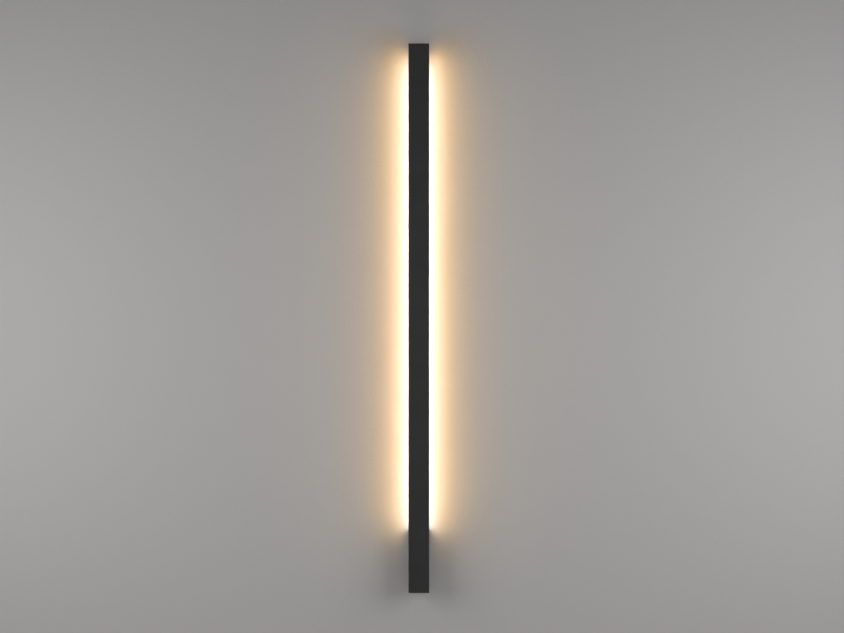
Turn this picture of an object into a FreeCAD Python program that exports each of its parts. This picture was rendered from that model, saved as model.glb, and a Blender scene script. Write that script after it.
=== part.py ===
import FreeCAD, Part
import math
import os

from FreeCAD import Vector as V

# A slim upright wall light. A square aluminium tube stands off the wall on a wiring housing at its
# foot and a small spacer at its head, and a strip of LEDs in its back face washes the wall.
#
# Frame, in millimetres: +X to the right as seen from the room, +Y into the wall, +Z up.
# The origin is the middle of the lower wall plate's back face, so the wall is the plane Y = 0.

# ---- Driving sizes ---------------------------------------------------------------------------

# Outline, from the photograph's proportions.
BAR_HEIGHT = 900.0
BAR_WIDTH = 34.0
BAR_DEPTH = 34.0
WALL_GAP = 20.0          # the tube's back face to the wall
HOUSING_HEIGHT = 100.0   # wiring housing between the tube's foot and the wall
SPACER_HEIGHT = 35.0     # spacer between the tube's head and the wall
SPACER_WIDTH = 20.0
FIRST_LED_ABOVE = 19.0   # the housing to the first LED
LAST_LED_BELOW = 7.0     # the last LED to the spacer
EDGE_RADIUS = 0.8        # long outer edges
END_EDGE_RADIUS = 0.4    # edges round the two ends

# Aluminium tube, an extrusion with a slot in its back for the LEDs.
TUBE_WALL = 1.8
SLOT_WIDTH = 18.0
SLOT_DEPTH = 9.0
SLOT_WALL = 1.6
WEB = 2.0                # between the slot's floor and the chamber in front of it
GROOVE_RECESS = 1.6      # back face to the grooves in the slot's sides
GROOVE_OPEN = 1.4
GROOVE_DEPTH = 0.9
PORT_BORE = 1.45         # radius of the four screw ports
PORT_WALL = 1.15
PORT_GAP = 1.2           # slit along each port
PORT_SINK = 0.3          # how far a port runs into the walls beside it

# End caps.
CAP_THICK = 2.2
PLUG_DEPTH = 4.0         # the ring that locates a cap in the tube
PLUG_WALL = 1.2
CAP_SCREW_LENGTH = 13.0
CAP_HEAD = 3.3           # radius of the countersunk head
CAP_HOLE_FIT = 0.35

# LED board and its cover.
BOARD_WIDTH = 12.0
BOARD_THICK = 1.0
TAPE_THICK = 0.2
BOARD_ABOVE_HOUSING = 9.0
BOARD_BELOW_SPACER = 3.0
LED_PITCH = 8.33
LED_LONG = 3.5           # across the board
LED_WIDE = 2.8
LED_HIGH = 0.7
LED_RIM = 0.3            # wall round the phosphor
PHOSPHOR_DEEP = 0.25
LEDS_PER_RESISTOR = 8
RESISTOR = (1.6, 0.55, 3.2)
RESISTOR_X = 4.2
CONNECTOR = (8.0, 3.0, 6.0)
CONNECTOR_START = 1.0    # the board's lower end to the connector
DIFFUSER_EDGE = 1.2
DIFFUSER_CROWN = 0.8
DIFFUSER_TUCK = 3.0      # how far it runs under the housing and the spacer
STOP_THICK = 2.0         # soft stops at the diffuser's ends
STOP_SIDE_GAP = 1.0

# Wiring housing and spacer, open towards the wall.
HOUSING_WALL = 1.6
HOUSING_FLOOR = 1.8
RIM_GAP = 0.6            # rim to the wall
PAD_THICK = 3.2          # threaded pads for the grub screws
PAD_SIZE = 8.0
RIB_THICK = 3.0          # ribs that hang on the wall plate's ears
EARTH_BOSS_RADIUS = 4.2
EARTH_BOSS_HIGH = 1.2
EARTH_SIDE_GAP = 0.2

# Wall plate, spigot and cable inlet.
PLATE_THICK = 1.5
PLATE_SIDE_GAP = 0.8
PLATE_END_GAP = 3.4
PLATE_CORNER = 2.0
EAR_HEIGHT = 20.0
EAR_FOOT = 13.0          # the housing's lower end to the ears
EAR_END_GAP = 7.2        # the ears' free edges to the housing's floor
EAR_BEND = 0.8
EAR_RELIEF = 1.0
WALL_SCREW_INSET = 13.0  # the plate's ends to the slots' middles
WALL_SLOT_RADIUS = 2.25
WALL_SLOT_LENGTH = 9.0
CABLE_Z = -10.0
CABLE_BORE = 4.75
GROMMET_WALL = 2.25
GROMMET_FLANGE = 1.5
GROMMET_FLANGE_THICK = 1.5
GROMMET_COLLAR = 1.25
GROMMET_COLLAR_LONG = 1.5
GROMMET_LIP = 0.6
SPIGOT_END_GAP = 3.8     # to the head of the spacer's screw
SPIGOT_CHAMFER = 1.0
SPIGOT_SCREW_SPACING = 14.0
SPIGOT_HOLE = 2.25
SPIGOT_COUNTERBORE = 4.4
SPIGOT_COUNTERBORE_DEEP = 7.0

# Screws that hold the housing and the spacer on the tube.
SCREW_M4 = 4.0
SCREW_M25 = 2.5
HEAD_SHARE = 0.9         # head radius as a share of the thread's diameter
HEAD_HIGH_SHARE = 0.6
HEAD_ROUND_SHARE = 0.45  # its rounded edge as a share of its height
RECESS_SHARES = (0.55, 0.12, 0.35)  # a cross recess's arm, half width and depth, to its size
SLOT_NUT_THICK = 3.5
SLOT_NUT_END = 8.0       # the housing's lower end to the lower slot nut
UPPER_SLOT_NUT_LONG = 24.0
LOWER_SCREW_INSET = 11.0  # the housing's lower end to its lower screw
SCREW_PAST_NUT = 1.0
GRUB_SIZE = 4.0
GRUB_SINK = 0.4          # below the housing's side
GRUB_INSET = 3.5         # the ears' free edges to the grub screws
GRUB_SOCKET = 2.0        # across flats
GRUB_SOCKET_DEEP = 2.0
GRUB_TIP = 0.6

# Terminal block, three poles, with a release button on each.
POLES = ("live", "neutral", "earth")
POLE_WALL = 1.4
BLOCK_LONG = 20.0
BLOCK_HIGH = 12.0
BLOCK_SIDE_GAP = 0.25
BLOCK_ROOF = 3.2
BLOCK_END_WALL = 2.0
BLOCK_EAR_WIDE = 4.7
BLOCK_EAR_LONG = 6.0
BLOCK_EAR_THICK = 2.2
CORE_Y = 5.7             # wire centres above the housing's floor
SUPPLY_ENTRY = 1.7
SUPPLY_FUNNEL = 0.6
BUTTON_PROUD = 0.5
BUTTON_FLANGE = 0.5
BUTTON_FLANGE_THICK = 0.8
BUTTON_TRAVEL = 1.2
BUTTON_SLOT = 0.6
BUSBAR_THICK = 0.8
SADDLE_LONG = 2.0        # the busbar's post under the spring
SPRING_THICK = 0.35
SPRING_DROP = 1.9

# Bushing that takes the mains wires through the housing's floor and the web.
BUSHING_INSET = 11.0     # the housing's upper end to the bushing
BUSHING_SIDE_GAP = 2.0   # the bushing to the slot's side
BUSHING_TO_SCREW = 15.75
BUSHING_BORE = 3.3
BUSHING_WALL = 1.2
BUSHING_FLANGE = 1.1
BUSHING_FLANGE_THICK = 1.0
BUSHING_PAST_WEB = 1.5

# Wires.
MAINS_WIRE = 1.2         # radius over the insulation
LED_WIRE = 0.8
MAINS_BEND = 3.6
LED_BEND = 3.2
BEND_SHARE = 0.45        # the most that an arc takes of its shorter run
WIRE_GRIP = 4.5          # how far a wire runs into a terminal or a case
MAINS_APART = 1.6        # half the distance between the two wires in the bushing
DRIVER_IN_X = 6.0
DRIVER_OUT_X = 1.6
LED_HOLE_RISE = 1.0      # the housing's upper end to the LED wires' hole
LED_HOLE = 3.2

# Earth screw and lug.
EARTH_INSET = 11.0       # the housing's upper end to the earth screw
SCREW_END_GAP = 0.3      # a short screw's tip to the tube
WASHER_THICK = 0.5
WASHER_RADIUS = 3.9
WASHER_TEETH = 12
LUG_THICK = 0.8
LUG_RADIUS = 3.7
LUG_BARREL_WALL = 0.6
LUG_BARREL_LONG = 5.0

# LED driver, in the tube's chamber.
DRIVER_LONG = 150.0
DRIVER_ABOVE_HOUSING = 11.0
DRIVER_SIDE_GAP = 1.2
DRIVER_FRONT_GAP = 0.5
DRIVER_TAPE_THICK = 0.5
DRIVER_TAPE_WIDE = 20.0
DRIVER_TAPE_SHORT = 20.0  # how much shorter than the driver
CASE_WALL = 1.2
CASE_COVER_HIGH = 4.0
CASE_LIP = 0.6
CASE_LIP_HIGH = 1.5
PCB_THICK = 1.2
PCB_STAND_OFF = 1.8
PCB_EDGE_GAP = 0.6
PCB_RAIL = 1.5           # width of the rails under its long edges
TRANSFORMER_SHARE = 0.56  # places along the driver, as shares of its length
CHOKE_SHARE = 0.18
CORE_SIDE_GAP = 2.2      # the board's edge to the transformer's core
CORE_LONG = 18.0
CORE_LEG = 4.5
CORE_YOKE = 5.0
CORE_SIDE = 1.5
WINDING_OVER_CORE = 2.0  # on the board's side and on the cover's side
CHOKE_FLANGE = 3.6
CHOKE_CORE = 1.9
CHOKE_FLANGE_THICK = 1.2

# Clearances.
FIT = 0.15               # pieces that drop into each other
THREAD_FIT = 0.01        # a thread's hole is modelled at the screw's outside radius
SLIDE_FIT = 0.25         # pieces that pull apart
HANG_FIT = 0.1           # rib above an ear
TOUCH = 0.05             # pieces that bear on each other, such as a grub screw's tip and an ear
OVER = 1.0               # how far a cut runs past the face that it opens
SAME = 1e-6              # nearer than this, two points or two levels are one

# ---- Levels worked out from the sizes --------------------------------------------------------

HALF_WIDTH = BAR_WIDTH / 2
Y_BACK = -WALL_GAP
Y_FRONT = Y_BACK - BAR_DEPTH
Y_CHAMBER = Y_FRONT + TUBE_WALL
Y_SLOT = Y_BACK - SLOT_DEPTH
Y_WEB = Y_SLOT - WEB
Y_FLOOR = Y_BACK + HOUSING_FLOOR
Y_CORE = Y_FLOOR + CORE_Y
Y_GROOVE = Y_BACK - GROOVE_RECESS
Y_SPIGOT = Y_FLOOR + SCREW_M4 * HEAD_HIGH_SHARE + SPIGOT_END_GAP
Y_EAR = Y_FLOOR + EAR_END_GAP
GRUB_Y = Y_EAR + GRUB_INSET

Z_LOW = -HOUSING_HEIGHT / 2
Z_HIGH = Z_LOW + BAR_HEIGHT
Z_HOUSING = Z_LOW + HOUSING_HEIGHT
Z_SPACER = Z_HIGH - SPACER_HEIGHT
Z_MIDDLE = (Z_LOW + Z_HIGH) / 2
Z_SPACER_MIDDLE = (Z_SPACER + Z_HIGH) / 2

PORT_RADIUS = PORT_BORE + PORT_WALL
PORT_X = (SLOT_WIDTH / 2 + SLOT_WALL + HALF_WIDTH - TUBE_WALL) / 2
PORT_FRONT_Y = Y_CHAMBER + PORT_RADIUS - PORT_SINK
PORT_REAR_Y = Y_BACK - TUBE_WALL - PORT_RADIUS + PORT_SINK
PORT_PLACES = [(side * PORT_X, y) for side in (-1, 1) for y in (PORT_FRONT_Y, PORT_REAR_Y)]

HOUSING_INSIDE = HALF_WIDTH - HOUSING_WALL
SPACER_INSIDE = SPACER_WIDTH / 2 - HOUSING_WALL
EAR_OUTSIDE = HOUSING_INSIDE - PAD_THICK - SLIDE_FIT
EAR_INSIDE = EAR_OUTSIDE - PLATE_THICK
Z_EAR = Z_LOW + EAR_FOOT
Z_EAR_TOP = Z_EAR + EAR_HEIGHT
Z_GRUB = (Z_EAR + Z_EAR_TOP) / 2

BUSHING_RADIUS = BUSHING_BORE + BUSHING_WALL
BUSHING_X = BUSHING_RADIUS + BUSHING_SIDE_GAP - SLOT_WIDTH / 2
Z_BUSHING = Z_HOUSING - BUSHING_INSET

HEAD_M4 = SCREW_M4 * HEAD_SHARE
LOWER_SCREW_Z = Z_LOW + LOWER_SCREW_INSET
UPPER_SCREW_Z = Z_BUSHING - BUSHING_TO_SCREW

Z_BLOCK_TOP = UPPER_SCREW_Z - HEAD_M4 - FIT
Z_BLOCK = Z_BLOCK_TOP - BLOCK_LONG
Z_BLOCK_MIDDLE = Z_BLOCK + BLOCK_LONG / 2
BLOCK_HALF = HOUSING_INSIDE - BLOCK_SIDE_GAP - BLOCK_EAR_WIDE
BLOCK_EAR_X = BLOCK_HALF + BLOCK_EAR_WIDE / 2
POLE_PITCH = (2 * BLOCK_HALF - POLE_WALL) / len(POLES)
POLE_X = [(i - (len(POLES) - 1) / 2) * POLE_PITCH for i in range(len(POLES))]
CAVITY_HALF = (POLE_PITCH - POLE_WALL) / 2
Y_BLOCK_TOP = Y_FLOOR + BLOCK_HIGH
Y_BLOCK_ROOF = Y_BLOCK_TOP - BLOCK_ROOF
Y_BUSBAR = Y_CORE - MAINS_WIRE - TOUCH
Y_BLOCK_FLOOR = Y_BUSBAR - BUSBAR_THICK
BUTTON_TOP_Y = Y_BLOCK_ROOF - TOUCH
SPRING_TOP_Y = BUTTON_TOP_Y - BUTTON_FLANGE_THICK - BUTTON_TRAVEL - TOUCH

EARTH_X = HOUSING_INSIDE - EARTH_BOSS_RADIUS - EARTH_SIDE_GAP
Z_EARTH = Z_HOUSING - EARTH_INSET
Y_EARTH_SEAT = Y_FLOOR + EARTH_BOSS_HIGH
Y_LUG = Y_EARTH_SEAT + WASHER_THICK

Z_BOARD = Z_HOUSING + BOARD_ABOVE_HOUSING
Z_BOARD_TOP = Z_SPACER - BOARD_BELOW_SPACER
Y_BOARD = Y_SLOT + TAPE_THICK
Y_BOARD_FACE = Y_BOARD + BOARD_THICK
Y_LED_FACE = Y_BOARD_FACE + LED_HIGH
Z_FIRST_LED = Z_HOUSING + FIRST_LED_ABOVE
Z_LAST_LED = Z_SPACER - LAST_LED_BELOW
LED_COUNT = round((Z_LAST_LED - Z_FIRST_LED) / LED_PITCH) + 1
LED_STEP = (Z_LAST_LED - Z_FIRST_LED) / (LED_COUNT - 1)
Z_LED_HOLE = Z_HOUSING + LED_HOLE_RISE

DRIVER_HALF = HALF_WIDTH - TUBE_WALL - DRIVER_SIDE_GAP
Y_DRIVER_BACK = Y_WEB - DRIVER_TAPE_THICK
Y_DRIVER_FRONT = PORT_FRONT_Y + PORT_RADIUS + DRIVER_FRONT_GAP
Y_DRIVER_MIDDLE = (Y_DRIVER_BACK + Y_DRIVER_FRONT) / 2
Z_DRIVER = Z_HOUSING + DRIVER_ABOVE_HOUSING
Z_DRIVER_TOP = Z_DRIVER + DRIVER_LONG
Y_PCB_FACE = Y_DRIVER_BACK - CASE_WALL - PCB_STAND_OFF - PCB_THICK
PCB_HALF = DRIVER_HALF - CASE_WALL - PCB_EDGE_GAP
PCB_ROOM = Y_PCB_FACE - (Y_DRIVER_FRONT + CASE_WALL) - TOUCH

WALL_SIDE = V(0, 1, 0)


# ---- Shapes that repeat ----------------------------------------------------------------------

def block(x, y, z):
    """A box between three (low, high) pairs."""
    return Part.makeBox(x[1] - x[0], y[1] - y[0], z[1] - z[0], V(x[0], y[0], z[0]))


def rod(radius, start, end):
    """A round bar from one point to another."""
    run = V(*end) - V(*start)
    return Part.makeCylinder(radius, run.Length, V(*start), run)


def cone(start_radius, end_radius, start, end):
    """A cone's stump from one point to another."""
    run = V(*end) - V(*start)
    return Part.makeCone(start_radius, end_radius, run.Length, V(*start), run)


def plan(start, *steps):
    """A closed outline in X and Y, as a face at Z = 0. A step is a point, or the middle and the
    end of an arc."""
    edges = []
    here = V(*start, 0)
    for step in steps + (start,):
        if isinstance(step[0], tuple):
            middle, there = (V(*point, 0) for point in step)
            edges.append(Part.Arc(here, middle, there).toShape())
        else:
            there = V(*step, 0)
            if here.distanceToPoint(there) > SAME:
                edges.append(Part.LineSegment(here, there).toShape())
        here = there
    return Part.Face(Part.Wire(edges))


def upright(face, low, high):
    """A face at Z = 0 drawn out between two heights."""
    solid = face.extrude(V(0, 0, high - low))
    solid.translate(V(0, 0, low))
    return solid


def rounded(x, y, radius):
    """A rectangle with rounded corners, as a face at Z = 0."""
    (x0, x1), (y0, y1) = x, y
    lean = radius * (1 - math.sqrt(0.5))
    return plan(
        (x0 + radius, y0), (x1 - radius, y0),
        ((x1 - lean, y0 + lean), (x1, y0 + radius)), (x1, y1 - radius),
        ((x1 - lean, y1 - lean), (x1 - radius, y1)), (x0 + radius, y1),
        ((x0 + lean, y1 - lean), (x0, y1 - radius)), (x0, y0 + radius),
        ((x0 + lean, y0 + lean), (x0 + radius, y0)),
    )


def facing(shape, place, toward):
    """Turns a shape's own +Z towards a direction and moves its origin to a place."""
    turned = shape.copy()
    turned.Placement = FreeCAD.Placement(V(*place), FreeCAD.Rotation(V(0, 0, 1), toward))
    return turned


def joined(first, *others):
    return first.multiFuse(list(others)).removeSplitter() if others else first


def without(shape, *cuts):
    return shape.cut(list(cuts)).removeSplitter()


def group(shapes):
    return Part.makeCompound(list(shapes))


def rounded_end(shape, height, radius):
    """Rounds the edges that lie in the horizontal plane at a height, round the outside."""
    face = max(
        (f for f in shape.Faces
         if abs(f.BoundBox.ZMin - height) < SAME and abs(f.BoundBox.ZMax - height) < SAME),
        key=lambda f: f.BoundBox.DiagonalLength,
    )
    return shape.makeFillet(radius, face.OuterWire.Edges)


def cross_recess(size):
    """The cross cut in a screw's head, below Z = 0."""
    arm, width, depth = (size * share for share in RECESS_SHARES)
    bars = [block((-arm, arm), (-width, width), (-depth, OVER)),
            block((-width, width), (-arm, arm), (-depth, OVER))]
    return joined(*bars)


def pan_screw(size, length, place, toward):
    """A pan-head screw with its head's seat at a place and its head towards a direction."""
    head_high = size * HEAD_HIGH_SHARE
    head = rod(size * HEAD_SHARE, (0, 0, 0), (0, 0, head_high))
    head = rounded_end(head, head_high, head_high * HEAD_ROUND_SHARE)
    recess = cross_recess(size)
    recess.translate(V(0, 0, head_high))
    shank = rod(size / 2, (0, 0, 0), (0, 0, -length))
    return facing(without(joined(head, shank), recess), place, toward)


def cable(points, radius, bend):
    """A wire along straight runs joined by tangent arcs, none longer than its runs allow."""
    points = [V(*point) for point in points]
    edges = []
    here = points[0]
    for before, corner, after in zip(points, points[1:], points[2:]):
        arriving = (corner - before).normalize()
        leaving = (after - corner).normalize()
        half_turn = arriving.getAngle(leaving) / 2
        shorter = min((corner - before).Length, (after - corner).Length)
        arc = min(bend, BEND_SHARE * shorter / math.tan(half_turn))
        back = arc * math.tan(half_turn)
        inward = (leaving - arriving).normalize()
        start, end = corner - arriving * back, corner + leaving * back
        middle = corner + inward * (arc / math.cos(half_turn) - arc)
        edges += [Part.LineSegment(here, start).toShape(), Part.Arc(start, middle, end).toShape()]
        here = end
    edges.append(Part.LineSegment(here, points[-1]).toShape())
    ring = Part.Circle(points[0], points[1] - points[0], radius).toShape()
    return Part.Wire(edges).makePipeShell([Part.Wire([ring])], True, False)


# ---- The tube and its ends -------------------------------------------------------------------

def body_tube():
    low, high = Z_LOW + CAP_THICK, Z_HIGH - CAP_THICK
    inside = HALF_WIDTH - TUBE_WALL
    slot_half = SLOT_WIDTH / 2
    skin = upright(rounded((-HALF_WIDTH, HALF_WIDTH), (Y_FRONT, Y_BACK), EDGE_RADIUS), low, high)
    chamber = block((-inside, inside), (Y_CHAMBER, Y_BACK - TUBE_WALL), (low, high))
    channel = block((-slot_half - SLOT_WALL, slot_half + SLOT_WALL), (Y_WEB, Y_BACK - TUBE_WALL),
                    (low, high))
    ports = [rod(PORT_RADIUS, (x, y, low), (x, y, high)) for x, y in PORT_PLACES]
    shell = joined(skin.cut(chamber), channel, *ports)
    slot = block((-slot_half, slot_half), (Y_SLOT, Y_BACK + OVER), (low, high))
    groove = block((-slot_half - GROOVE_DEPTH, slot_half + GROOVE_DEPTH),
                   (Y_GROOVE - GROOVE_OPEN, Y_GROOVE), (low, high))
    cuts = [slot, groove]
    for x, y in PORT_PLACES:
        cuts.append(rod(PORT_BORE, (x, y, low), (x, y, high)))
        towards = 1 if y == PORT_FRONT_Y else -1
        slit_end = y + towards * (PORT_RADIUS + PORT_SINK)
        cuts.append(block((x - PORT_GAP / 2, x + PORT_GAP / 2), sorted((y, slit_end)), (low, high)))
    cuts.append(rod(BUSHING_RADIUS + TOUCH, (BUSHING_X, Y_WEB, Z_BUSHING),
                    (BUSHING_X, Y_SLOT, Z_BUSHING)))
    cuts.append(rod(LED_HOLE, (0, Y_WEB, Z_LED_HOLE), (0, Y_SLOT, Z_LED_HOLE)))
    return without(shell, *cuts)


def top_end_cap():
    plate = upright(rounded((-HALF_WIDTH, HALF_WIDTH), (Y_FRONT, Y_BACK), EDGE_RADIUS),
                    Z_HIGH - CAP_THICK, Z_HIGH)
    plate = rounded_end(plate, Z_HIGH, END_EDGE_RADIUS)
    half = PORT_X - PORT_RADIUS - FIT
    low, high = Z_HIGH - CAP_THICK - PLUG_DEPTH, Z_HIGH - CAP_THICK
    front, back = Y_CHAMBER + FIT, Y_WEB - FIT
    ring = block((-half, half), (front, back), (low, high)).cut(
        block((PLUG_WALL - half, half - PLUG_WALL), (front + PLUG_WALL, back - PLUG_WALL),
              (low, high)))
    hole = PORT_BORE + CAP_HOLE_FIT
    cuts = []
    for x, y in PORT_PLACES:
        cuts.append(rod(hole, (x, y, Z_HIGH - CAP_THICK), (x, y, Z_HIGH)))
        cuts.append(cone(CAP_HEAD + TOUCH, hole, (x, y, Z_HIGH),
                         (x, y, Z_HIGH + hole - CAP_HEAD - TOUCH)))
    return without(joined(plate, ring), *cuts)


def top_cap_screws():
    head_deep = CAP_HEAD - PORT_BORE
    screws = []
    for x, y in PORT_PLACES:
        head = cone(CAP_HEAD, PORT_BORE, (x, y, Z_HIGH - TOUCH), (x, y, Z_HIGH - TOUCH - head_deep))
        shank = rod(PORT_BORE - THREAD_FIT, (x, y, Z_HIGH - TOUCH - head_deep),
                    (x, y, Z_HIGH - TOUCH - CAP_SCREW_LENGTH))
        recess = cross_recess(CAP_HEAD)
        recess.translate(V(x, y, Z_HIGH - TOUCH))
        screws.append(without(joined(head, shank), recess))
    return group(screws)


def upside_down(shape):
    """The same piece at the tube's foot."""
    return shape.mirror(V(0, 0, Z_MIDDLE), V(0, 0, 1))


# ---- The light -------------------------------------------------------------------------------

def led_board():
    half = BOARD_WIDTH / 2
    return block((-half, half), (Y_BOARD, Y_BOARD_FACE), (Z_BOARD, Z_BOARD_TOP))


def thermal_tape():
    half = BOARD_WIDTH / 2
    return block((-half, half), (Y_SLOT, Y_BOARD), (Z_BOARD, Z_BOARD_TOP))


def led_heights():
    return [Z_FIRST_LED + i * LED_STEP for i in range(LED_COUNT)]


def led_well(z):
    """The phosphor's well in one LED."""
    half_long, half_wide = LED_LONG / 2 - LED_RIM, LED_WIDE / 2 - LED_RIM
    return block((-half_long, half_long), (Y_LED_FACE - PHOSPHOR_DEEP, Y_LED_FACE),
                 (z - half_wide, z + half_wide))


def led_packages():
    packages = []
    for z in led_heights():
        body = block((-LED_LONG / 2, LED_LONG / 2), (Y_BOARD_FACE, Y_LED_FACE),
                     (z - LED_WIDE / 2, z + LED_WIDE / 2))
        packages.append(body.cut(led_well(z)))
    return group(packages)


def led_phosphors():
    return group(led_well(z) for z in led_heights())


def board_resistors():
    """One beside the gap after every few LEDs."""
    width, high, long = RESISTOR
    places = [z + LED_STEP / 2 for z in led_heights()[LEDS_PER_RESISTOR // 2::LEDS_PER_RESISTOR]]
    return group(
        block((RESISTOR_X - width / 2, RESISTOR_X + width / 2),
              (Y_BOARD_FACE, Y_BOARD_FACE + high), (z - long / 2, z + long / 2))
        for z in places
    )


def board_connector():
    width, high, long = CONNECTOR
    low = Z_BOARD + CONNECTOR_START
    body = block((-width / 2, width / 2), (Y_BOARD_FACE, Y_BOARD_FACE + high), (low, low + long))
    y = Y_BOARD_FACE + high / 2
    entries = [rod(LED_WIRE + TOUCH, (x, y, low), (x, y, low + WIRE_GRIP))
               for x in (-DRIVER_OUT_X, DRIVER_OUT_X)]
    return without(body, *entries)


def diffuser():
    """Its tongues slide in the slot's grooves, and its face bows out towards the wall."""
    outer, inner = Y_GROOVE, Y_GROOVE - DIFFUSER_EDGE
    tongue = SLOT_WIDTH / 2 + GROOVE_DEPTH - FIT
    shoulder = SLOT_WIDTH / 2 - FIT
    section = plan(
        (-tongue, inner), (tongue, inner), (tongue, outer), (shoulder, outer),
        ((0, outer + DIFFUSER_CROWN), (-shoulder, outer)), (-tongue, outer),
    )
    return upright(section, Z_HOUSING - DIFFUSER_TUCK, Z_SPACER + DIFFUSER_TUCK)


def diffuser_stops():
    """Foam blocks in the slot that keep the diffuser from sliding along it."""
    half = SLOT_WIDTH / 2 - STOP_SIDE_GAP
    low, high = Z_HOUSING - DIFFUSER_TUCK, Z_SPACER + DIFFUSER_TUCK
    depth = (Y_GROOVE - DIFFUSER_EDGE, Y_GROOVE)
    return group([block((-half, half), depth, (low - STOP_THICK, low)),
                  block((-half, half), depth, (high, high + STOP_THICK))])


# ---- Housing, spacer and what holds them on the tube -----------------------------------------

def open_box(half_width, low, high):
    """A housing between the tube and the wall, open towards the wall."""
    box = upright(rounded((-half_width, half_width), (Y_BACK, -RIM_GAP), EDGE_RADIUS), low, high)
    for end in (low, high):
        box = rounded_end(box, end, END_EDGE_RADIUS)
    inside = half_width - HOUSING_WALL
    return box.cut(block((-inside, inside), (Y_FLOOR, OVER), (low + HOUSING_WALL, high - HOUSING_WALL)))


def floor_hole(radius, x, z):
    return rod(radius, (x, Y_BACK, z), (x, Y_EARTH_SEAT, z))


def lower_housing():
    parts = [open_box(HALF_WIDTH, Z_LOW, Z_HOUSING)]
    cuts = [floor_hole(SCREW_M4 / 2 + FIT, 0, z) for z in (LOWER_SCREW_Z, UPPER_SCREW_Z)]
    cuts.append(floor_hole(BUSHING_RADIUS + TOUCH, BUSHING_X, Z_BUSHING))
    cuts.append(floor_hole(SCREW_M4 / 2 + THREAD_FIT, EARTH_X, Z_EARTH))
    parts.append(rod(EARTH_BOSS_RADIUS, (EARTH_X, Y_FLOOR, Z_EARTH), (EARTH_X, Y_EARTH_SEAT, Z_EARTH)))
    for side in (-1, 1):
        cuts.append(floor_hole(SCREW_M25 / 2 + THREAD_FIT, side * BLOCK_EAR_X, Z_BLOCK_MIDDLE))
        pad_x = sorted((side * HOUSING_INSIDE, side * (HOUSING_INSIDE - PAD_THICK)))
        parts.append(block(pad_x, (Y_FLOOR, GRUB_Y + PAD_SIZE / 2),
                           (Z_GRUB - PAD_SIZE / 2, Z_GRUB + PAD_SIZE / 2)))
        rib_x = sorted((side * HOUSING_INSIDE, side * EAR_INSIDE))
        parts.append(block(rib_x, (Y_FLOOR, GRUB_Y + PAD_SIZE / 2),
                           (Z_EAR_TOP + HANG_FIT, Z_EAR_TOP + HANG_FIT + RIB_THICK)))
        cuts.append(rod(GRUB_SIZE / 2 + THREAD_FIT, (side * EAR_OUTSIDE, GRUB_Y, Z_GRUB),
                        (side * HALF_WIDTH, GRUB_Y, Z_GRUB)))
    return without(joined(*parts), *cuts)


def upper_spacer():
    box = open_box(SPACER_WIDTH / 2, Z_SPACER, Z_HIGH)
    return without(box, floor_hole(SCREW_M4 / 2 + FIT, 0, Z_SPACER_MIDDLE))


def slot_nut(low, high, threads):
    """A bar in the tube's grooves, with threaded holes."""
    tongue = SLOT_WIDTH / 2 + GROOVE_DEPTH - FIT
    core = SLOT_WIDTH / 2 - FIT
    back = Y_GROOVE - SLOT_NUT_THICK
    bar = joined(block((-tongue, tongue), (Y_GROOVE - DIFFUSER_EDGE, Y_GROOVE), (low, high)),
                 block((-core, core), (back, Y_GROOVE), (low, high)))
    holes = [rod(SCREW_M4 / 2 + THREAD_FIT, (0, Y_GROOVE, z), (0, back, z)) for z in threads]
    return without(bar, *holes)


def lower_slot_nut():
    return slot_nut(Z_LOW + SLOT_NUT_END, Z_BUSHING - BUSHING_RADIUS - FIT,
                    (LOWER_SCREW_Z, UPPER_SCREW_Z))


def upper_slot_nut():
    half = UPPER_SLOT_NUT_LONG / 2
    return slot_nut(Z_SPACER_MIDDLE - half, Z_SPACER_MIDDLE + half, (Z_SPACER_MIDDLE,))


def slot_screw(z):
    """From a housing's floor through its slot nut."""
    length = HOUSING_FLOOR + GROOVE_RECESS + SLOT_NUT_THICK + SCREW_PAST_NUT
    return pan_screw(SCREW_M4, length, (0, Y_FLOOR, z), WALL_SIDE)


def housing_screws():
    return group(slot_screw(z) for z in (LOWER_SCREW_Z, UPPER_SCREW_Z))


def spacer_screw():
    return slot_screw(Z_SPACER_MIDDLE)


def grub_screws():
    """One in each side of the housing. Their tips bear on the wall plate's ears."""
    length = HALF_WIDTH - GRUB_SINK - EAR_OUTSIDE - TOUCH
    radius = GRUB_SIZE / 2
    shank = rod(radius, (0, 0, GRUB_TIP - length), (0, 0, 0))
    tip = cone(radius, radius - GRUB_TIP, (0, 0, GRUB_TIP - length), (0, 0, -length))
    corner = GRUB_SOCKET / math.sqrt(3)
    turns = [math.radians(60 * i) for i in range(6)]
    points = [(corner * math.cos(turn), corner * math.sin(turn)) for turn in turns]
    socket = upright(plan(*points), -GRUB_SOCKET_DEEP, OVER)
    screw = without(joined(shank, tip), socket)
    outside = HALF_WIDTH - GRUB_SINK
    return group(facing(screw, (side * outside, GRUB_Y, Z_GRUB), V(side, 0, 0)) for side in (-1, 1))


# ---- Terminal block --------------------------------------------------------------------------

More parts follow.
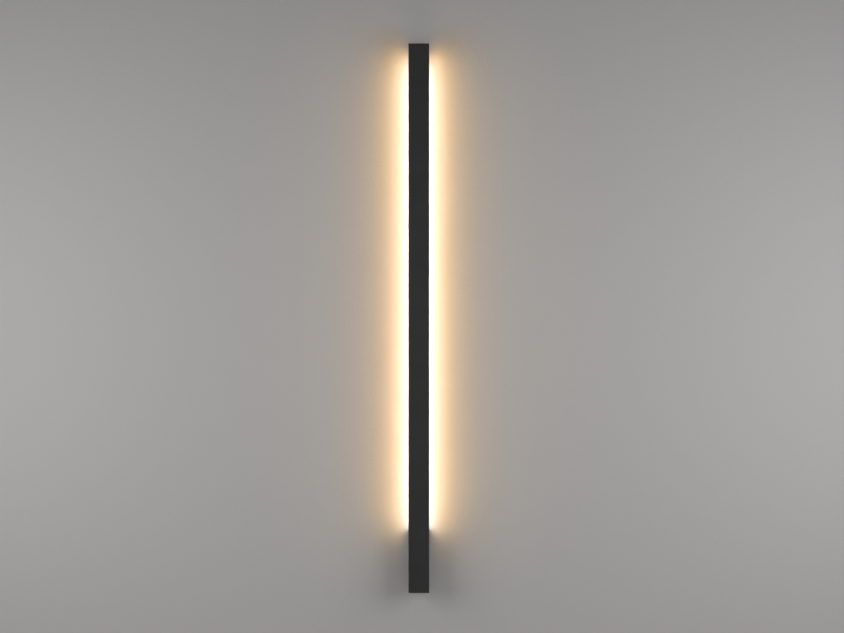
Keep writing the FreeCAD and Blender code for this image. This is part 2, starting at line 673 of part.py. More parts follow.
def terminal_block():
    body = block((-BLOCK_HALF, BLOCK_HALF), (Y_FLOOR, Y_BLOCK_TOP), (Z_BLOCK, Z_BLOCK_TOP))
    reach = BLOCK_HALF + BLOCK_EAR_WIDE
    ears = block((-reach, reach), (Y_FLOOR, Y_FLOOR + BLOCK_EAR_THICK),
                 (Z_BLOCK_MIDDLE - BLOCK_EAR_LONG / 2, Z_BLOCK_MIDDLE + BLOCK_EAR_LONG / 2))
    cuts = [rod(SCREW_M25 / 2 + FIT, (side * BLOCK_EAR_X, Y_FLOOR, Z_BLOCK_MIDDLE),
                (side * BLOCK_EAR_X, Y_BLOCK_TOP, Z_BLOCK_MIDDLE)) for side in (-1, 1)]
    well = CAVITY_HALF - BUTTON_FLANGE
    for x in POLE_X:
        cuts.append(block((x - CAVITY_HALF, x + CAVITY_HALF), (Y_BLOCK_FLOOR, Y_BLOCK_ROOF),
                          (Z_BLOCK + BLOCK_END_WALL, Z_BLOCK_TOP - BLOCK_END_WALL)))
        cuts.append(block((x - well, x + well), (Y_BLOCK_ROOF, Y_BLOCK_TOP),
                          (Z_BLOCK_MIDDLE - well, Z_BLOCK_MIDDLE + well)))
        cuts.append(rod(SUPPLY_ENTRY, (x, Y_CORE, Z_BLOCK), (x, Y_CORE, Z_BLOCK + BLOCK_END_WALL)))
        cuts.append(cone(SUPPLY_ENTRY + SUPPLY_FUNNEL, SUPPLY_ENTRY, (x, Y_CORE, Z_BLOCK),
                         (x, Y_CORE, Z_BLOCK + SUPPLY_FUNNEL)))
        cuts.append(rod(MAINS_WIRE + TOUCH, (x, Y_CORE, Z_BLOCK_TOP - BLOCK_END_WALL),
                        (x, Y_CORE, Z_BLOCK_TOP)))
    return without(joined(body, ears), *cuts)


def terminal_block_screws():
    seat = Y_FLOOR + BLOCK_EAR_THICK
    length = BLOCK_EAR_THICK + HOUSING_FLOOR - SCREW_END_GAP
    return group(pan_screw(SCREW_M25, length, (side * BLOCK_EAR_X, seat, Z_BLOCK_MIDDLE), WALL_SIDE)
                 for side in (-1, 1))


def terminal_busbars():
    """The copper bar under the wires of each pole, with a post for its spring."""
    half = CAVITY_HALF - FIT
    end = BLOCK_LONG / 2 - BLOCK_END_WALL - FIT
    bars = []
    for x in POLE_X:
        bar = block((x - half, x + half), (Y_BLOCK_FLOOR, Y_BUSBAR),
                    (Z_BLOCK_MIDDLE - end, Z_BLOCK_MIDDLE + end))
        post = block((x - half, x + half), (Y_BUSBAR, SPRING_TOP_Y - SPRING_THICK),
                     (Z_BLOCK_MIDDLE - SADDLE_LONG / 2, Z_BLOCK_MIDDLE + SADDLE_LONG / 2))
        bars.append(joined(bar, post))
    return group(bars)


def terminal_springs():
    """A leaf spring over each post. Its two arms bite the wires' ends."""
    reach = BLOCK_LONG / 2 - WIRE_GRIP
    flat = SADDLE_LONG / 2
    top, under = SPRING_TOP_Y, SPRING_TOP_Y - SPRING_THICK
    half = CAVITY_HALF - FIT
    leaves = []
    for x in POLE_X:
        # Drawn in plan with X for the height above the block's middle, then turned upright.
        leaf = plan((-reach, under - SPRING_DROP), (-flat, under), (flat, under),
                    (reach, under - SPRING_DROP), (reach, top - SPRING_DROP), (flat, top),
                    (-flat, top), (-reach, top - SPRING_DROP))
        leaf = leaf.extrude(V(0, 0, 2 * half))
        leaf.rotate(V(0, 0, 0), V(0, 1, 0), -90)
        leaf.translate(V(x + half, 0, Z_BLOCK_MIDDLE))
        leaves.append(leaf)
    return group(leaves)


def release_button(x):
    """Pressed towards the room to free a pole's wires. Its flange keeps it in the block."""
    flange = CAVITY_HALF - FIT
    stem = flange - BUTTON_FLANGE
    top = Y_BLOCK_TOP + BUTTON_PROUD
    parts = [
        block((x - stem, x + stem), (BUTTON_TOP_Y, top),
              (Z_BLOCK_MIDDLE - stem, Z_BLOCK_MIDDLE + stem)),
        block((x - flange, x + flange), (BUTTON_TOP_Y - BUTTON_FLANGE_THICK, BUTTON_TOP_Y),
              (Z_BLOCK_MIDDLE - flange, Z_BLOCK_MIDDLE + flange)),
    ]
    slot = block((x - stem, x + stem), (top - BUTTON_SLOT, top),
                 (Z_BLOCK_MIDDLE - BUTTON_SLOT / 2, Z_BLOCK_MIDDLE + BUTTON_SLOT / 2))
    return without(joined(*parts), slot)


# ---- Wires -----------------------------------------------------------------------------------

def wire_bushing():
    tail = Y_WEB - BUSHING_PAST_WEB
    flange = Y_FLOOR + BUSHING_FLANGE_THICK
    x, z = BUSHING_X, Z_BUSHING
    tube = rod(BUSHING_RADIUS, (x, tail, z), (x, Y_FLOOR, z))
    rim = rod(BUSHING_RADIUS + BUSHING_FLANGE, (x, Y_FLOOR, z), (x, flange, z))
    return without(joined(tube, rim), rod(BUSHING_BORE, (x, tail, z), (x, flange, z)))


def mains_wire(pole, side):
    """From a terminal, through the bushing, up the chamber and down on the driver's board."""
    x_pole, x_hole, x_in = POLE_X[pole], BUSHING_X + side * MAINS_APART, side * DRIVER_IN_X
    y_turn = Y_WEB - BUSHING_PAST_WEB - MAINS_BEND - MAINS_WIRE
    return cable([
        (x_pole, Y_CORE, Z_BLOCK_TOP - WIRE_GRIP),
        (x_pole, Y_CORE, UPPER_SCREW_Z),
        (x_hole, Y_CORE, Z_BUSHING),
        (x_hole, y_turn, Z_BUSHING),
        (x_in, Y_DRIVER_MIDDLE, Z_DRIVER - WIRE_GRIP),
        (x_in, Y_DRIVER_MIDDLE, Z_DRIVER + 2 * WIRE_GRIP),
        (x_in, Y_PCB_FACE, Z_DRIVER + 2 * WIRE_GRIP),
    ], MAINS_WIRE, MAINS_BEND)


def live_wire():
    return mains_wire(0, -1)


def neutral_wire():
    return mains_wire(1, 1)


def earth_wire():
    x, y = POLE_X[2], lug_barrel_y()
    foot = lug_barrel_foot()
    return cable([
        (x, Y_CORE, Z_BLOCK_TOP - WIRE_GRIP),
        (x, Y_CORE, Z_BLOCK_TOP + WIRE_GRIP / 2),
        (EARTH_X, y, foot - WIRE_GRIP / 2),
        (EARTH_X, y, foot + LUG_BARREL_LONG - TOUCH),
    ], MAINS_WIRE, MAINS_BEND)


def led_wire(side):
    """From the driver's upper end, down in front of it, through the web and up to the board."""
    x = side * DRIVER_OUT_X
    y_run = (Y_CHAMBER + Y_DRIVER_FRONT) / 2
    y_entry = Y_BOARD_FACE + CONNECTOR[1] / 2
    z_loop = Z_DRIVER_TOP + 3 * LED_BEND
    return cable([
        (x, Y_PCB_FACE, Z_DRIVER_TOP - 2 * WIRE_GRIP),
        (x, Y_DRIVER_MIDDLE, Z_DRIVER_TOP - 2 * WIRE_GRIP),
        (x, Y_DRIVER_MIDDLE, z_loop),
        (x, y_run, z_loop),
        (x, y_run, Z_LED_HOLE),
        (x, y_entry, Z_LED_HOLE),
        (x, y_entry, Z_BOARD + CONNECTOR_START + WIRE_GRIP),
    ], LED_WIRE, LED_BEND)


def lug_barrel_y():
    return Y_LUG + MAINS_WIRE + LUG_BARREL_WALL


def lug_barrel_foot():
    return Z_EARTH - LUG_RADIUS - LUG_BARREL_LONG


def earth_lug():
    ring = rod(LUG_RADIUS, (EARTH_X, Y_LUG, Z_EARTH), (EARTH_X, Y_LUG + LUG_THICK, Z_EARTH))
    foot, y = lug_barrel_foot(), lug_barrel_y()
    bore = MAINS_WIRE + THREAD_FIT
    outside = bore + LUG_BARREL_WALL
    neck = block((EARTH_X - outside, EARTH_X + outside), (Y_LUG, Y_LUG + LUG_THICK),
                 (foot + LUG_BARREL_LONG / 2, Z_EARTH))
    barrel = rod(outside, (EARTH_X, y, foot), (EARTH_X, y, foot + LUG_BARREL_LONG))
    eye = rod(SCREW_M4 / 2 + FIT, (EARTH_X, Y_LUG, Z_EARTH), (EARTH_X, Y_LUG + LUG_THICK, Z_EARTH))
    hollow = rod(bore, (EARTH_X, y, foot), (EARTH_X, y, foot + LUG_BARREL_LONG))
    return without(joined(ring, neck, barrel), eye, hollow)


def earth_washer():
    """Toothed, so that it bites through the paint."""
    disc = rod(WASHER_RADIUS, (EARTH_X, Y_EARTH_SEAT, Z_EARTH), (EARTH_X, Y_LUG, Z_EARTH))
    cuts = [rod(SCREW_M4 / 2 + FIT, (EARTH_X, Y_EARTH_SEAT, Z_EARTH), (EARTH_X, Y_LUG, Z_EARTH))]
    notch = WASHER_RADIUS / WASHER_TEETH
    for i in range(WASHER_TEETH):
        turn = 2 * math.pi * i / WASHER_TEETH
        x, z = EARTH_X + WASHER_RADIUS * math.cos(turn), Z_EARTH + WASHER_RADIUS * math.sin(turn)
        cuts.append(rod(notch, (x, Y_EARTH_SEAT, z), (x, Y_LUG, z)))
    return without(disc, *cuts)


def earth_screw():
    length = LUG_THICK + WASHER_THICK + EARTH_BOSS_HIGH + HOUSING_FLOOR - SCREW_END_GAP
    return pan_screw(SCREW_M4, length, (EARTH_X, Y_LUG + LUG_THICK, Z_EARTH), WALL_SIDE)


# ---- LED driver ------------------------------------------------------------------------------

def case_box(back, front, shrink):
    """The driver's outline between two depths, drawn in all round."""
    half = DRIVER_HALF - shrink
    return block((-half, half), (front, back), (Z_DRIVER + shrink, Z_DRIVER_TOP - shrink))


def driver_entries():
    """The wires' holes in the driver's two ends."""
    y = Y_DRIVER_MIDDLE
    holes = [rod(MAINS_WIRE + TOUCH, (side * DRIVER_IN_X, y, Z_DRIVER),
                 (side * DRIVER_IN_X, y, Z_DRIVER + CASE_WALL)) for side in (-1, 1)]
    holes += [rod(LED_WIRE + TOUCH, (side * DRIVER_OUT_X, y, Z_DRIVER_TOP - CASE_WALL),
                  (side * DRIVER_OUT_X, y, Z_DRIVER_TOP)) for side in (-1, 1)]
    return holes


def driver_case_base():
    """A tray, with its lip inside the cover."""
    rim = Y_DRIVER_FRONT + CASE_COVER_HIGH
    tray = case_box(Y_DRIVER_BACK, rim, 0)
    lip = case_box(rim, rim - CASE_LIP_HIGH, CASE_WALL - CASE_LIP + TOUCH)
    inside = case_box(Y_DRIVER_BACK - CASE_WALL, rim - CASE_LIP_HIGH, CASE_WALL)
    shell = without(joined(tray, lip), inside, *driver_entries())
    rails = []
    for side in (-1, 1):
        x = sorted((side * (PCB_HALF + PCB_EDGE_GAP), side * (PCB_HALF - PCB_RAIL)))
        rails.append(block(x, (Y_PCB_FACE + PCB_THICK, Y_DRIVER_BACK - CASE_WALL),
                           (Z_DRIVER + CASE_WALL, Z_DRIVER_TOP - CASE_WALL)))
    return joined(shell, *rails)


def driver_case_cover():
    rim = Y_DRIVER_FRONT + CASE_COVER_HIGH
    lid = case_box(rim, Y_DRIVER_FRONT, 0)
    inside = case_box(rim, Y_DRIVER_FRONT + CASE_WALL, CASE_WALL)
    rebate = case_box(rim, rim - CASE_LIP_HIGH - TOUCH, CASE_WALL - CASE_LIP)
    return without(lid, inside, rebate)


def driver_circuit_board():
    gap = CASE_WALL + PCB_EDGE_GAP
    return block((-PCB_HALF, PCB_HALF), (Y_PCB_FACE, Y_PCB_FACE + PCB_THICK),
                 (Z_DRIVER + gap, Z_DRIVER_TOP - gap))


def along_driver(place):
    """The height at a share of the driver's length."""
    return Z_DRIVER + place * DRIVER_LONG


def driver_transformer_core():
    """Two E-cores face to face. Their middle legs meet inside the winding."""
    back, front = Y_PCB_FACE - WINDING_OVER_CORE, Y_PCB_FACE - PCB_ROOM + WINDING_OVER_CORE
    half = PCB_HALF - CORE_SIDE_GAP
    z = along_driver(TRANSFORMER_SHARE)
    core = block((-half, half), (front, back), (z - CORE_LONG / 2, z + CORE_LONG / 2))
    window_z = (z - CORE_LONG / 2 + CORE_YOKE, z + CORE_LONG / 2 - CORE_YOKE)
    windows = [block(sorted((side * CORE_LEG / 2, side * (half - CORE_SIDE))), (front, back),
                     window_z) for side in (-1, 1)]
    return without(core, *windows)


def driver_transformer_winding():
    """A taped coil that stands on the board, round the core's middle leg."""
    back, front = Y_PCB_FACE, Y_PCB_FACE - PCB_ROOM
    half = PCB_HALF - CORE_SIDE_GAP - CORE_SIDE - FIT
    z = along_driver(TRANSFORMER_SHARE)
    reach = CORE_LONG / 2 - CORE_YOKE - FIT
    coil = block((-half, half), (front, back), (z - reach, z + reach))
    hollow = block((-CORE_LEG / 2, CORE_LEG / 2),
                   (front + WINDING_OVER_CORE, back - WINDING_OVER_CORE), (z - reach, z + reach))
    return without(coil, hollow)


# Place along the driver, then diameter and length as shares of the room under the cover: the
# mains-side and the LED-side electrolytic.
CAN_SHARES = ((0.3, 0.9, 1.6), (0.8, 0.72, 1.2))


def driver_capacitors():
    """They lie on the board."""
    cans = []
    for place, across, along in CAN_SHARES:
        radius, reach = across * PCB_ROOM / 2, along * PCB_ROOM / 2
        z, y = along_driver(place), Y_PCB_FACE - radius
        can = rod(radius, (0, y, z - reach), (0, y, z + reach))
        cans.append(rounded_end(can, z + reach, END_EDGE_RADIUS))
    return group(cans)


def driver_filter_choke():
    """A drum core that stands on the board."""
    z = along_driver(CHOKE_SHARE)
    back, front = Y_PCB_FACE, Y_PCB_FACE - PCB_ROOM
    return joined(
        rod(CHOKE_FLANGE, (0, back, z), (0, back - CHOKE_FLANGE_THICK, z)),
        rod(CHOKE_CORE, (0, back, z), (0, front, z)),
        rod(CHOKE_FLANGE, (0, front + CHOKE_FLANGE_THICK, z), (0, front, z)),
    )


# Place across the board, width and length as shares of the board's half width, place along the
# driver, and height as a share of the room under the cover: rectifier, controller, snubber,
# transistor, coupler and output diode.
CHIP_SHARES = (
    (0.66, 0.41, 0.53, 0.20, 0.30),
    (0.62, 0.41, 0.33, 0.42, 0.18),
    (-0.62, 0.25, 0.57, 0.42, 0.40),
    (0.66, 0.36, 0.74, 0.32, 0.65),
    (-0.66, 0.38, 0.52, 0.70, 0.34),
    (0.58, 0.36, 0.49, 0.70, 0.24),
)


def driver_small_parts():
    chips = []
    for across, wide, long, place, high in CHIP_SHARES:
        x, z = across * PCB_HALF, along_driver(place)
        half_wide, half_long = wide * PCB_HALF / 2, long * PCB_HALF / 2
        chips.append(block((x - half_wide, x + half_wide), (Y_PCB_FACE - high * PCB_ROOM, Y_PCB_FACE),
                           (z - half_long, z + half_long)))
    return group(chips)


def driver_tape():
    half = DRIVER_TAPE_WIDE / 2
    return block((-half, half), (Y_DRIVER_BACK, Y_WEB),
                 (Z_DRIVER + DRIVER_TAPE_SHORT / 2, Z_DRIVER_TOP - DRIVER_TAPE_SHORT / 2))


# ---- What stays on the wall ------------------------------------------------------------------

def upright_plate(x, z, radius, thick):
    """A plate against the wall, with rounded corners."""
    plate = upright(rounded(x, z, radius), 0, thick)
    plate.rotate(V(0, 0, 0), V(1, 0, 0), 90)
    return plate


def wall_slot(z):
    """A hole for a wall screw, drawn out along Z."""
    reach = WALL_SLOT_LENGTH / 2 - WALL_SLOT_RADIUS
    radius = WALL_SLOT_RADIUS
    ends = [rod(radius, (0, 0, z + end), (0, -PLATE_THICK, z + end)) for end in (-reach, reach)]
    return joined(block((-radius, radius), (-PLATE_THICK, 0), (z - reach, z + reach)), *ends)


def ear_profile():
    """One ear in plan, bent from the plate's edge: a thin leg, a round bend and a foot."""
    thick, bend = PLATE_THICK, EAR_BEND
    lean = 1 - math.sqrt(0.5)
    outer = bend + thick
    return plan(
        (EAR_INSIDE - bend, 0), (EAR_OUTSIDE - outer, 0),
        ((EAR_OUTSIDE - outer * lean, -outer * lean), (EAR_OUTSIDE, -outer)),
        (EAR_OUTSIDE, Y_EAR), (EAR_INSIDE, Y_EAR), (EAR_INSIDE, -outer),
        ((EAR_INSIDE - bend * lean, -thick - bend * lean), (EAR_INSIDE - bend, -thick)),
    )


def wall_plate():
    half = HOUSING_INSIDE - PLATE_SIDE_GAP
    reach = HOUSING_HEIGHT / 2 - HOUSING_WALL - PLATE_END_GAP
    plate = upright_plate((-half, half), (-reach, reach), PLATE_CORNER, PLATE_THICK)
    relief = (Z_EAR - EAR_RELIEF, Z_EAR_TOP + EAR_RELIEF)
    start = EAR_INSIDE - EAR_BEND
    notches = [block(sorted((side * start, side * (half + OVER))), (-PLATE_THICK, 0), relief)
               for side in (-1, 1)]
    ear = upright(ear_profile(), Z_EAR, Z_EAR_TOP)
    ears = [ear, ear.mirror(V(0, 0, 0), V(1, 0, 0))]
    screw_z = reach - WALL_SCREW_INSET
    inlet = CABLE_BORE + GROMMET_WALL
    cuts = [wall_slot(-screw_z), wall_slot(screw_z),
            rod(inlet + THREAD_FIT, (0, 0, CABLE_Z), (0, -PLATE_THICK, CABLE_Z)),
            cone(inlet + GROMMET_LIP, inlet, (0, 0, CABLE_Z), (0, -GROMMET_LIP, CABLE_Z))]
    return without(joined(without(plate, *notches), *ears), *cuts)


def cable_grommet():
    """Snaps into the wall plate. Its lip fills the hole's chamfer, flush with the wall."""
    radius = CABLE_BORE + GROMMET_WALL
    flange_end = -PLATE_THICK - GROMMET_FLANGE_THICK
    collar_end = flange_end - GROMMET_COLLAR_LONG
    parts = [
        rod(radius, (0, 0, CABLE_Z), (0, -PLATE_THICK, CABLE_Z)),
        cone(radius + GROMMET_LIP - THREAD_FIT, radius, (0, 0, CABLE_Z), (0, -GROMMET_LIP, CABLE_Z)),
        rod(radius + GROMMET_FLANGE, (0, -PLATE_THICK, CABLE_Z), (0, flange_end, CABLE_Z)),
        rod(CABLE_BORE + GROMMET_COLLAR, (0, flange_end, CABLE_Z), (0, collar_end, CABLE_Z)),
    ]
    return without(joined(*parts), rod(CABLE_BORE, (0, 0, CABLE_Z), (0, collar_end, CABLE_Z)))


def upper_wall_spigot():
    """The spacer pushes on over it."""
    half = SPACER_INSIDE - SLIDE_FIT
    low, high = Z_SPACER + HOUSING_WALL + SLIDE_FIT, Z_HIGH - HOUSING_WALL - SLIDE_FIT
    peg = block((-half, half), (Y_SPIGOT, 0), (low, high))
    lead_in = [edge for edge in peg.Edges if edge.BoundBox.YMax < Y_SPIGOT + TOUCH]
    peg = peg.makeChamfer(SPIGOT_CHAMFER, lead_in)
    cuts = []
    for side in (-1, 1):
        z = Z_SPACER_MIDDLE + side * SPIGOT_SCREW_SPACING / 2
        cuts.append(rod(SPIGOT_HOLE, (0, 0, z), (0, Y_SPIGOT, z)))
        cuts.append(rod(SPIGOT_COUNTERBORE, (0, Y_SPIGOT + SPIGOT_COUNTERBORE_DEEP, z),
                        (0, Y_SPIGOT, z)))
    return without(peg, *cuts)


# ---- The whole light -------------------------------------------------------------------------

def sub_parts():
    cap, cap_screws = top_end_cap(), top_cap_screws()
    parts = {
        "body_tube": body_tube(),
        "top_end_cap": cap,
        "bottom_end_cap": upside_down(cap),
        "top_cap_screws": cap_screws,
        "bottom_cap_screws": upside_down(cap_screws),
        "led_board": led_board(),
        "thermal_tape": thermal_tape(),
        "led_packages": led_packages(),
        "led_phosphors": led_phosphors(),
        "board_resistors": board_resistors(),
        "board_connector": board_connector(),
        "diffuser": diffuser(),
        "diffuser_stops": diffuser_stops(),
        "lower_housing": lower_housing(),
        "upper_spacer": upper_spacer(),
        "lower_slot_nut": lower_slot_nut(),
        "upper_slot_nut": upper_slot_nut(),
        "housing_screws": housing_screws(),
        "spacer_screw": spacer_screw(),
        "grub_screws": grub_screws(),
        "terminal_block": terminal_block(),
        "terminal_block_screws": terminal_block_screws(),
        "terminal_busbars": terminal_busbars(),
        "terminal_springs": terminal_springs(),
        "wire_bushing": wire_bushing(),
        "live_wire": live_wire(),
        "neutral_wire": neutral_wire(),
        "earth_wire": earth_wire(),
        "led_wire_positive": led_wire(-1),
        "led_wire_negative": led_wire(1),
        "earth_lug": earth_lug(),
        "earth_washer": earth_washer(),
        "earth_screw": earth_screw(),
        "driver_case_base": driver_case_base(),
        "driver_case_cover": driver_case_cover(),
        "driver_circuit_board": driver_circuit_board(),
        "driver_transformer_core": driver_transformer_core(),
        "driver_transformer_winding": driver_transformer_winding(),
        "driver_capacitors": driver_capacitors(),
        "driver_filter_choke": driver_filter_choke(),
        "driver_small_parts": driver_small_parts(),
        "driver_tape": driver_tape(),
        "wall_plate": wall_plate(),
        "cable_grommet": cable_grommet(),
        "upper_wall_spigot": upper_wall_spigot(),
    }
    for pole, x in zip(POLES, POLE_X):
        parts[pole + "_release_button"] = release_button(x)
    return parts


def main():
    os.makedirs("parts", exist_ok=True)
    for name, shape in sub_parts().items():
        if not shape.isValid() or not shape.Solids:
            raise ValueError(name + " isn't a sound solid")
        shape.exportStep("parts/" + name + ".step")


main()
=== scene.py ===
"""The looks of a slim upright wall light: its finishes, the pieces that need more shape than a flat-sided
solid gives them, and the wall, light and camera to see it by. Lengths are metres: +X is to the right as
seen from the room, +Y goes into the wall and +Z up."""
import math

import bpy
import numpy as np
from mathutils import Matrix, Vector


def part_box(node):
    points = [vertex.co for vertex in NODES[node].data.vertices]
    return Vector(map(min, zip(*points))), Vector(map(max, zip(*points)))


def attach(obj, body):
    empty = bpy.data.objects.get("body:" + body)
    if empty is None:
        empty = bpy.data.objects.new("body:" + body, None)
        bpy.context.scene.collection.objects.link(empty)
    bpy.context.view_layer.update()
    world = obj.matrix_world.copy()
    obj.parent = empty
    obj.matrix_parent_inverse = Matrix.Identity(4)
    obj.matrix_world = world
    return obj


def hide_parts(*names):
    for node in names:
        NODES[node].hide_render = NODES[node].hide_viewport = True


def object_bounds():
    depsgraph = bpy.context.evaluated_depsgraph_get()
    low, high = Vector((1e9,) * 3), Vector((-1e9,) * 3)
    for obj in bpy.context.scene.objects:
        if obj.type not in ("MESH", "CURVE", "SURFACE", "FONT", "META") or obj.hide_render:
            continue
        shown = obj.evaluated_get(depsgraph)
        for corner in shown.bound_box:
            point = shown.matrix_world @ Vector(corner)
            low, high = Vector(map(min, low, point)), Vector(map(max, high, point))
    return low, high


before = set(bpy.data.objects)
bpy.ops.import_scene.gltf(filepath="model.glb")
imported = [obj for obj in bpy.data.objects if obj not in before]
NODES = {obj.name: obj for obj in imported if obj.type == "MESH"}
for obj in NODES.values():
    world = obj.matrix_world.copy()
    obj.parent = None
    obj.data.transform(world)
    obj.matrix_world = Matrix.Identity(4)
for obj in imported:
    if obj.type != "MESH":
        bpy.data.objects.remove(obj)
CAD_LOW, CAD_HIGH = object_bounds()

bl_info = {
    "name": "Tube wall light",
    "version": (1, 0, 0),
    "blender": (4, 5, 0),
    "location": "3D View > Sidebar > Wall light",
    "description": "Finishes and small pieces of a slim wall light that washes the wall behind it",
    "category": "Object",
}

MM = 0.001
WAVE = math.pi / 10  # a wave texture at a scale of 1 repeats at this distance

# The photograph: its size, and where the bar's front face stands in it.
PHOTO_WIDE, PHOTO_TALL = 844, 633
BAR_MIDDLE_X, BAR_MIDDLE_Y = 418.85, 318.25
BAR_TALL = 549.7


# ---- Values that a user would change ---------------------------------------------------------

def linear(code):
    """An sRGB hex colour as linear red, green and blue, with an alpha of 1."""
    shares = [int(code[i:i + 2], 16) / 255 for i in (1, 3, 5)]
    return [s / 12.92 if s <= 0.04045 else ((s + 0.055) / 1.055) ** 2.4 for s in shares] + [1.0]


def colour(name, code, description):
    return bpy.props.FloatVectorProperty(name=name, description=description, subtype="COLOR", size=4,
                                         min=0, max=1, default=linear(code))


def length(name, mm, description):
    return bpy.props.FloatProperty(name=name, description=description, unit="LENGTH", min=0,
                                   precision=5, default=mm * MM)


def share(name, default, description):
    return bpy.props.FloatProperty(name=name, description=description, subtype="FACTOR", min=0, max=1,
                                   default=default)


def number(name, default, description):
    return bpy.props.FloatProperty(name=name, description=description, min=0, default=default)


class ShellSettings(bpy.types.PropertyGroup):
    coat: colour("Coat", "#1b1b1b", "Black powder coat on the tube, its ends, the housing and the spacer")
    coat_light: colour("Coat's light patches", "#202020", "Where the coat lies a little thinner")
    coat_rough: share("Coat's roughness", 0.42, "How matt the powder coat is")
    peel: length("Orange peel", 1.4, "Width of the ripples that the coat sets with")
    peel_deep: length("Orange peel's depth", 0.012, "Height of those ripples")


class GlowSettings(bpy.types.PropertyGroup):
    opal: colour("Opal", "#f4efe4", "The cover's own colour")
    opal_dull: colour("Opal's duller patches", "#ece6d8", "Where the cover's pigment lies thicker")
    light: colour("Light", "#fff3e4", "Colour of the light through the cover")
    strength: number("Strength", 21.6, "Radiance of the cover's face, where 1 is white")
    wash: colour("Side wash", "#ffc55f", "Colour of the light that spreads sideways along the wall")
    wash_power: number("Side wash's power", 0.59, "Power in watts of that light, on each side")
    wash_off: length("Side wash's distance", 26.0, "How far from the wall it starts")
    wash_wide: length("Side wash's width", 2.0, "Width of the lamp that gives it")
    wash_short: length("Side wash's upper end", 11.0, "How far under the bar's upper end it stops")
    wash_past: length("Side wash's lower end", 5.0, "How far below the housing's upper end it reaches")
    top_glow: colour("Top glow", "#ffd0a0", "Colour of the light that gets out beside the spacer")
    top_glow_power: number("Top glow's power", 0.009, "Power in watts of that light, on each side")
    top_glow_tall: length("Top glow's height", 20.0, "How far it climbs past the spacer's lower end")
    crown: length("Crown", 0.8, "How far the cover's face bows out")
    edge: length("Edge", 1.2, "Thickness of the tongues that slide in the grooves")
    tuck: length("Groove", 0.9, "Depth of the grooves in the slot's sides")
    mask: colour("Solder mask", "#e9e9e2", "White lacquer on the LED board")
    copper_under: colour("Tracks", "#f6f5ee", "The lacquer over the copper tracks")
    track_wide: length("Tracks' width", 3.5, "How wide the LED board's copper islands are")
    track_longer: number("Tracks' length", 6.0, "How many times longer than wide they are")
    package: colour("LED package", "#eeeee6", "Moulded body of each LED")
    phosphor: colour("Phosphor", "#e8c24a", "Silicone with yellow phosphor in each LED")
    glaze: colour("Chip's glaze", "#232326", "Black glaze on the board's chip resistors")
    ceramic: colour("Chip's ceramic", "#ebeae4", "Their white alumina body")
    pad: colour("Pads", "#cfcdc6", "Tinned lead frames and chip ends")
    pad_dull: colour("Pads' streaks", "#b9b7af", "Duller streaks in their tin")
    pad_reach: length("Pad's width", 0.7, "How wide each LED's lead frame is")
    pad_past: length("Pad's overhang", 0.12, "How far it stands out of the moulding")


class MetalSettings(bpy.types.PropertyGroup):
    zinc: colour("Zinc", "#c3c7c9", "Zinc plating on the wall plate, nuts, washer and screws")
    zinc_dark: colour("Zinc's grain", "#a7abaf", "Darker crystals in the zinc")
    blacked: colour("Blacked steel", "#26272a", "Black oxide on the screws that show")
    blacked_light: colour("Its light patches", "#3a3b3f", "Where the oxide is thin")
    copper: colour("Copper", "#c98a63", "Rolled copper of the busbars")
    copper_dull: colour("Copper's streaks", "#b0714d", "Duller streaks in it")
    tin: colour("Tin", "#cfcdc6", "Tinned copper of the earth lug")
    tin_dull: colour("Tin's streaks", "#b9b7af", "Duller streaks in it")
    spring: colour("Spring steel", "#b4b6b8", "Stainless leaf springs")
    spring_dull: colour("Spring steel's streaks", "#9fa1a4", "Duller streaks in it")


class MouldingSettings(bpy.types.PropertyGroup):
    nylon: colour("White nylon", "#e5e3da", "Terminal block and board connector")
    black_nylon: colour("Black nylon", "#242426", "Glass-filled nylon of the upper peg")
    rubber: colour("Rubber", "#1c1c1c", "Grommet and bushing")
    case: colour("Driver case", "#e3e4df", "White polycarbonate of the driver's case")
    foam: colour("Foam", "#56575a", "Closed-cell foam of the stops and the driver's tape")
    # The cells' rims get the lighter tone below and their pits the darker foam tone: painted shade in the
    # pits.
    foam_lit_rims: colour("Foam's cell walls", "#7a7b7e", "The thin walls between its cells")
    tape: colour("Thermal tape", "#dcdbd4", "Double-sided tape under the LED board")
    live_button: colour("Live button", "#8f9092", "Release button of the live terminal")
    neutral_button: colour("Neutral button", "#2c62b4", "Release button of the neutral terminal")
    earth_button: colour("Earth button", "#2f8f4a", "Release button of the earth terminal")


class WireSettings(bpy.types.PropertyGroup):
    brown: colour("Brown", "#5e3a24", "Live wire")
    blue: colour("Blue", "#255fae", "Neutral wire")
    green: colour("Green", "#2f8a3c", "Earth wire")
    yellow: colour("Yellow", "#e7cf3a", "The earth wire's stripe")
    red: colour("Red", "#b3221d", "LED wire, positive")
    black: colour("Black", "#1d1d1f", "LED wire, negative")
    stripe_lay: length("Stripe's lay", 6.0, "Distance from one yellow band of the earth wire to the next")


